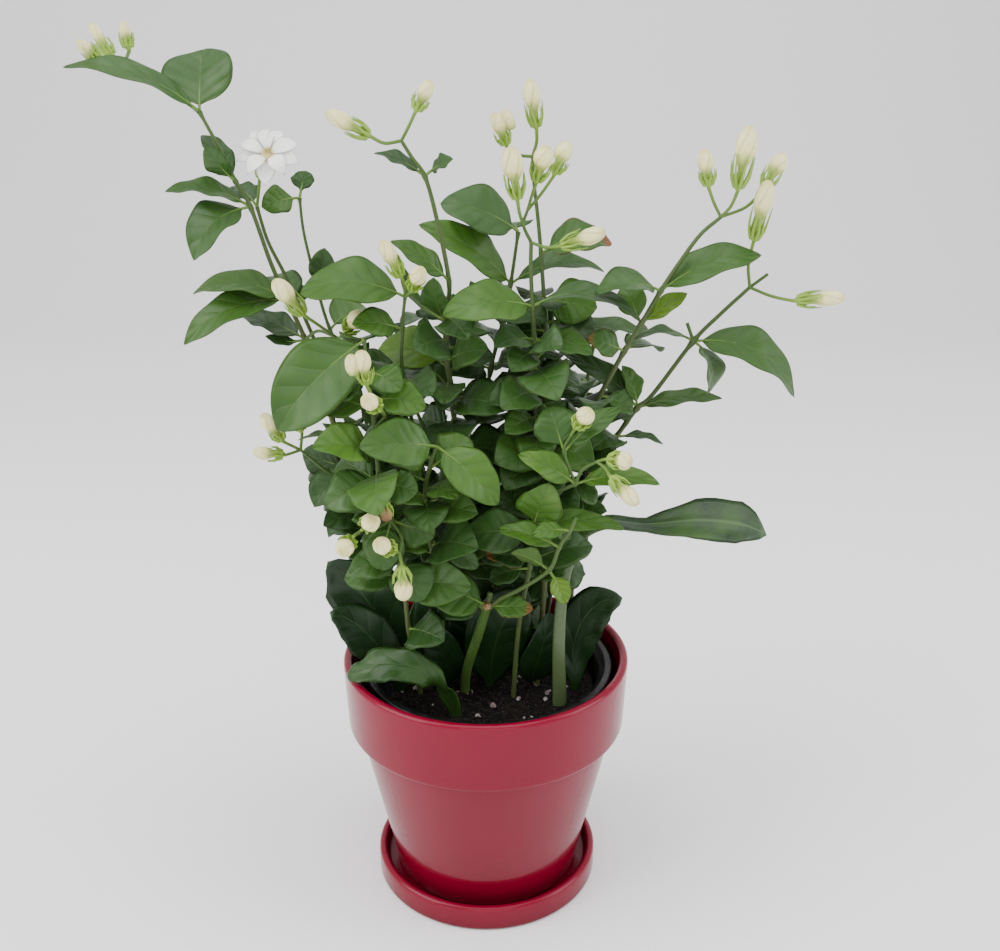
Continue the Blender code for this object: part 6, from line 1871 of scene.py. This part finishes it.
def make_sweep():
    """White paper that lies under the pot and curves up behind it."""
    profile = [(-SWEEP_REACH, 0.0), (SWEEP_BEND, 0.0)]
    for angle in (math.radians(degrees) for degrees in range(6, 91, 6)):
        profile.append((SWEEP_BEND + math.sin(angle), 1 - math.cos(angle)))
    profile.append((SWEEP_BEND + 1, SWEEP_REACH))
    verts = [(x, y, z - SWEEP_DROP) for y, z in profile for x in (-SWEEP_REACH, SWEEP_REACH)]
    faces = [(2 * k, 2 * k + 1, 2 * k + 3, 2 * k + 2) for k in range(len(profile) - 1)]
    mesh = bpy.data.meshes.new("studio_sweep")
    mesh.from_pydata(verts, [], faces)
    mesh.shade_smooth()
    sweep = linked("studio_sweep", mesh)
    finish = Finish("studio_paper", 0.2)
    fibre = finish.noise(300.0)
    finish.set({"Base Color": finish.mix(fibre, *PAPER), "Roughness": fibre * 0.1 + 0.8})
    mesh.materials.append(finish.material)


def make_studio():
    """The paper sweep, the softboxes and a pale room."""
    make_sweep()
    for name, (place, size, power, colour) in LIGHTS.items():
        lamp = bpy.data.lights.new(name, "AREA")
        lamp.shape = "RECTANGLE"
        lamp.size, lamp.size_y = size
        lamp.energy = power
        lamp.color = colour
        made = linked(name, lamp)
        made.location = place
        made.rotation_euler = (Vector(LIGHTS_AIM) - Vector(place)).to_track_quat("-Z", "Y").to_euler()
    world = bpy.data.worlds.new("studio_air")
    world.use_nodes = True
    room = world.node_tree.nodes["Background"].inputs
    room["Color"].default_value = (1, 1, 1, 1)
    room["Strength"].default_value = ROOM_LIGHT
    bpy.context.scene.world = world


def make_camera():
    """The photograph's view: from in front and a little above, looking down on the plant."""
    lens = bpy.data.cameras.new("photo_view")
    lens.sensor_width = CAMERA_SENSOR
    lens.lens = CAMERA_LENS
    lens.clip_start, lens.clip_end = CAMERA_RANGE
    camera = linked("photo_view", lens)
    camera.location = CAMERA_PLACE
    camera.rotation_euler = (math.radians(90 - CAMERA_PITCH), 0, 0)
    bpy.context.scene.camera = camera


def main():
    """The whole scene. A bud's finish goes by the name of its slot."""
    make_camera()
    make_studio()
    make_pottery(glaze_finish(), grow_pot_finish())
    make_soil(soil_finish(), perlite_finish())
    grow_plant({
        "leaf": leaf_finish("jasmine_leaf", LEAF_VEINS, LEAF_GREENS, LEAF_UNDERSIDE, 0.3, 0.00028),
        "basal": leaf_finish("basal_leaf", BASAL_VEINS, BASAL_GREENS, BASAL_UNDERSIDE, 0.24, 0.0002),
        "pale_basal": stalked_finish(),
        "bark": bark_finish(),
        "bloom_cream": bloom_finish("bud_petals_cream", BUD_CREAM),
        "petal": bloom_finish("flower_petals_white", FLOWER_WHITE),
        "dried_bud": bloom_finish("dried_bud_petals", DRIED_BROWN, 0.6),
        "cut": cut_wood_finish(),
    })


main()
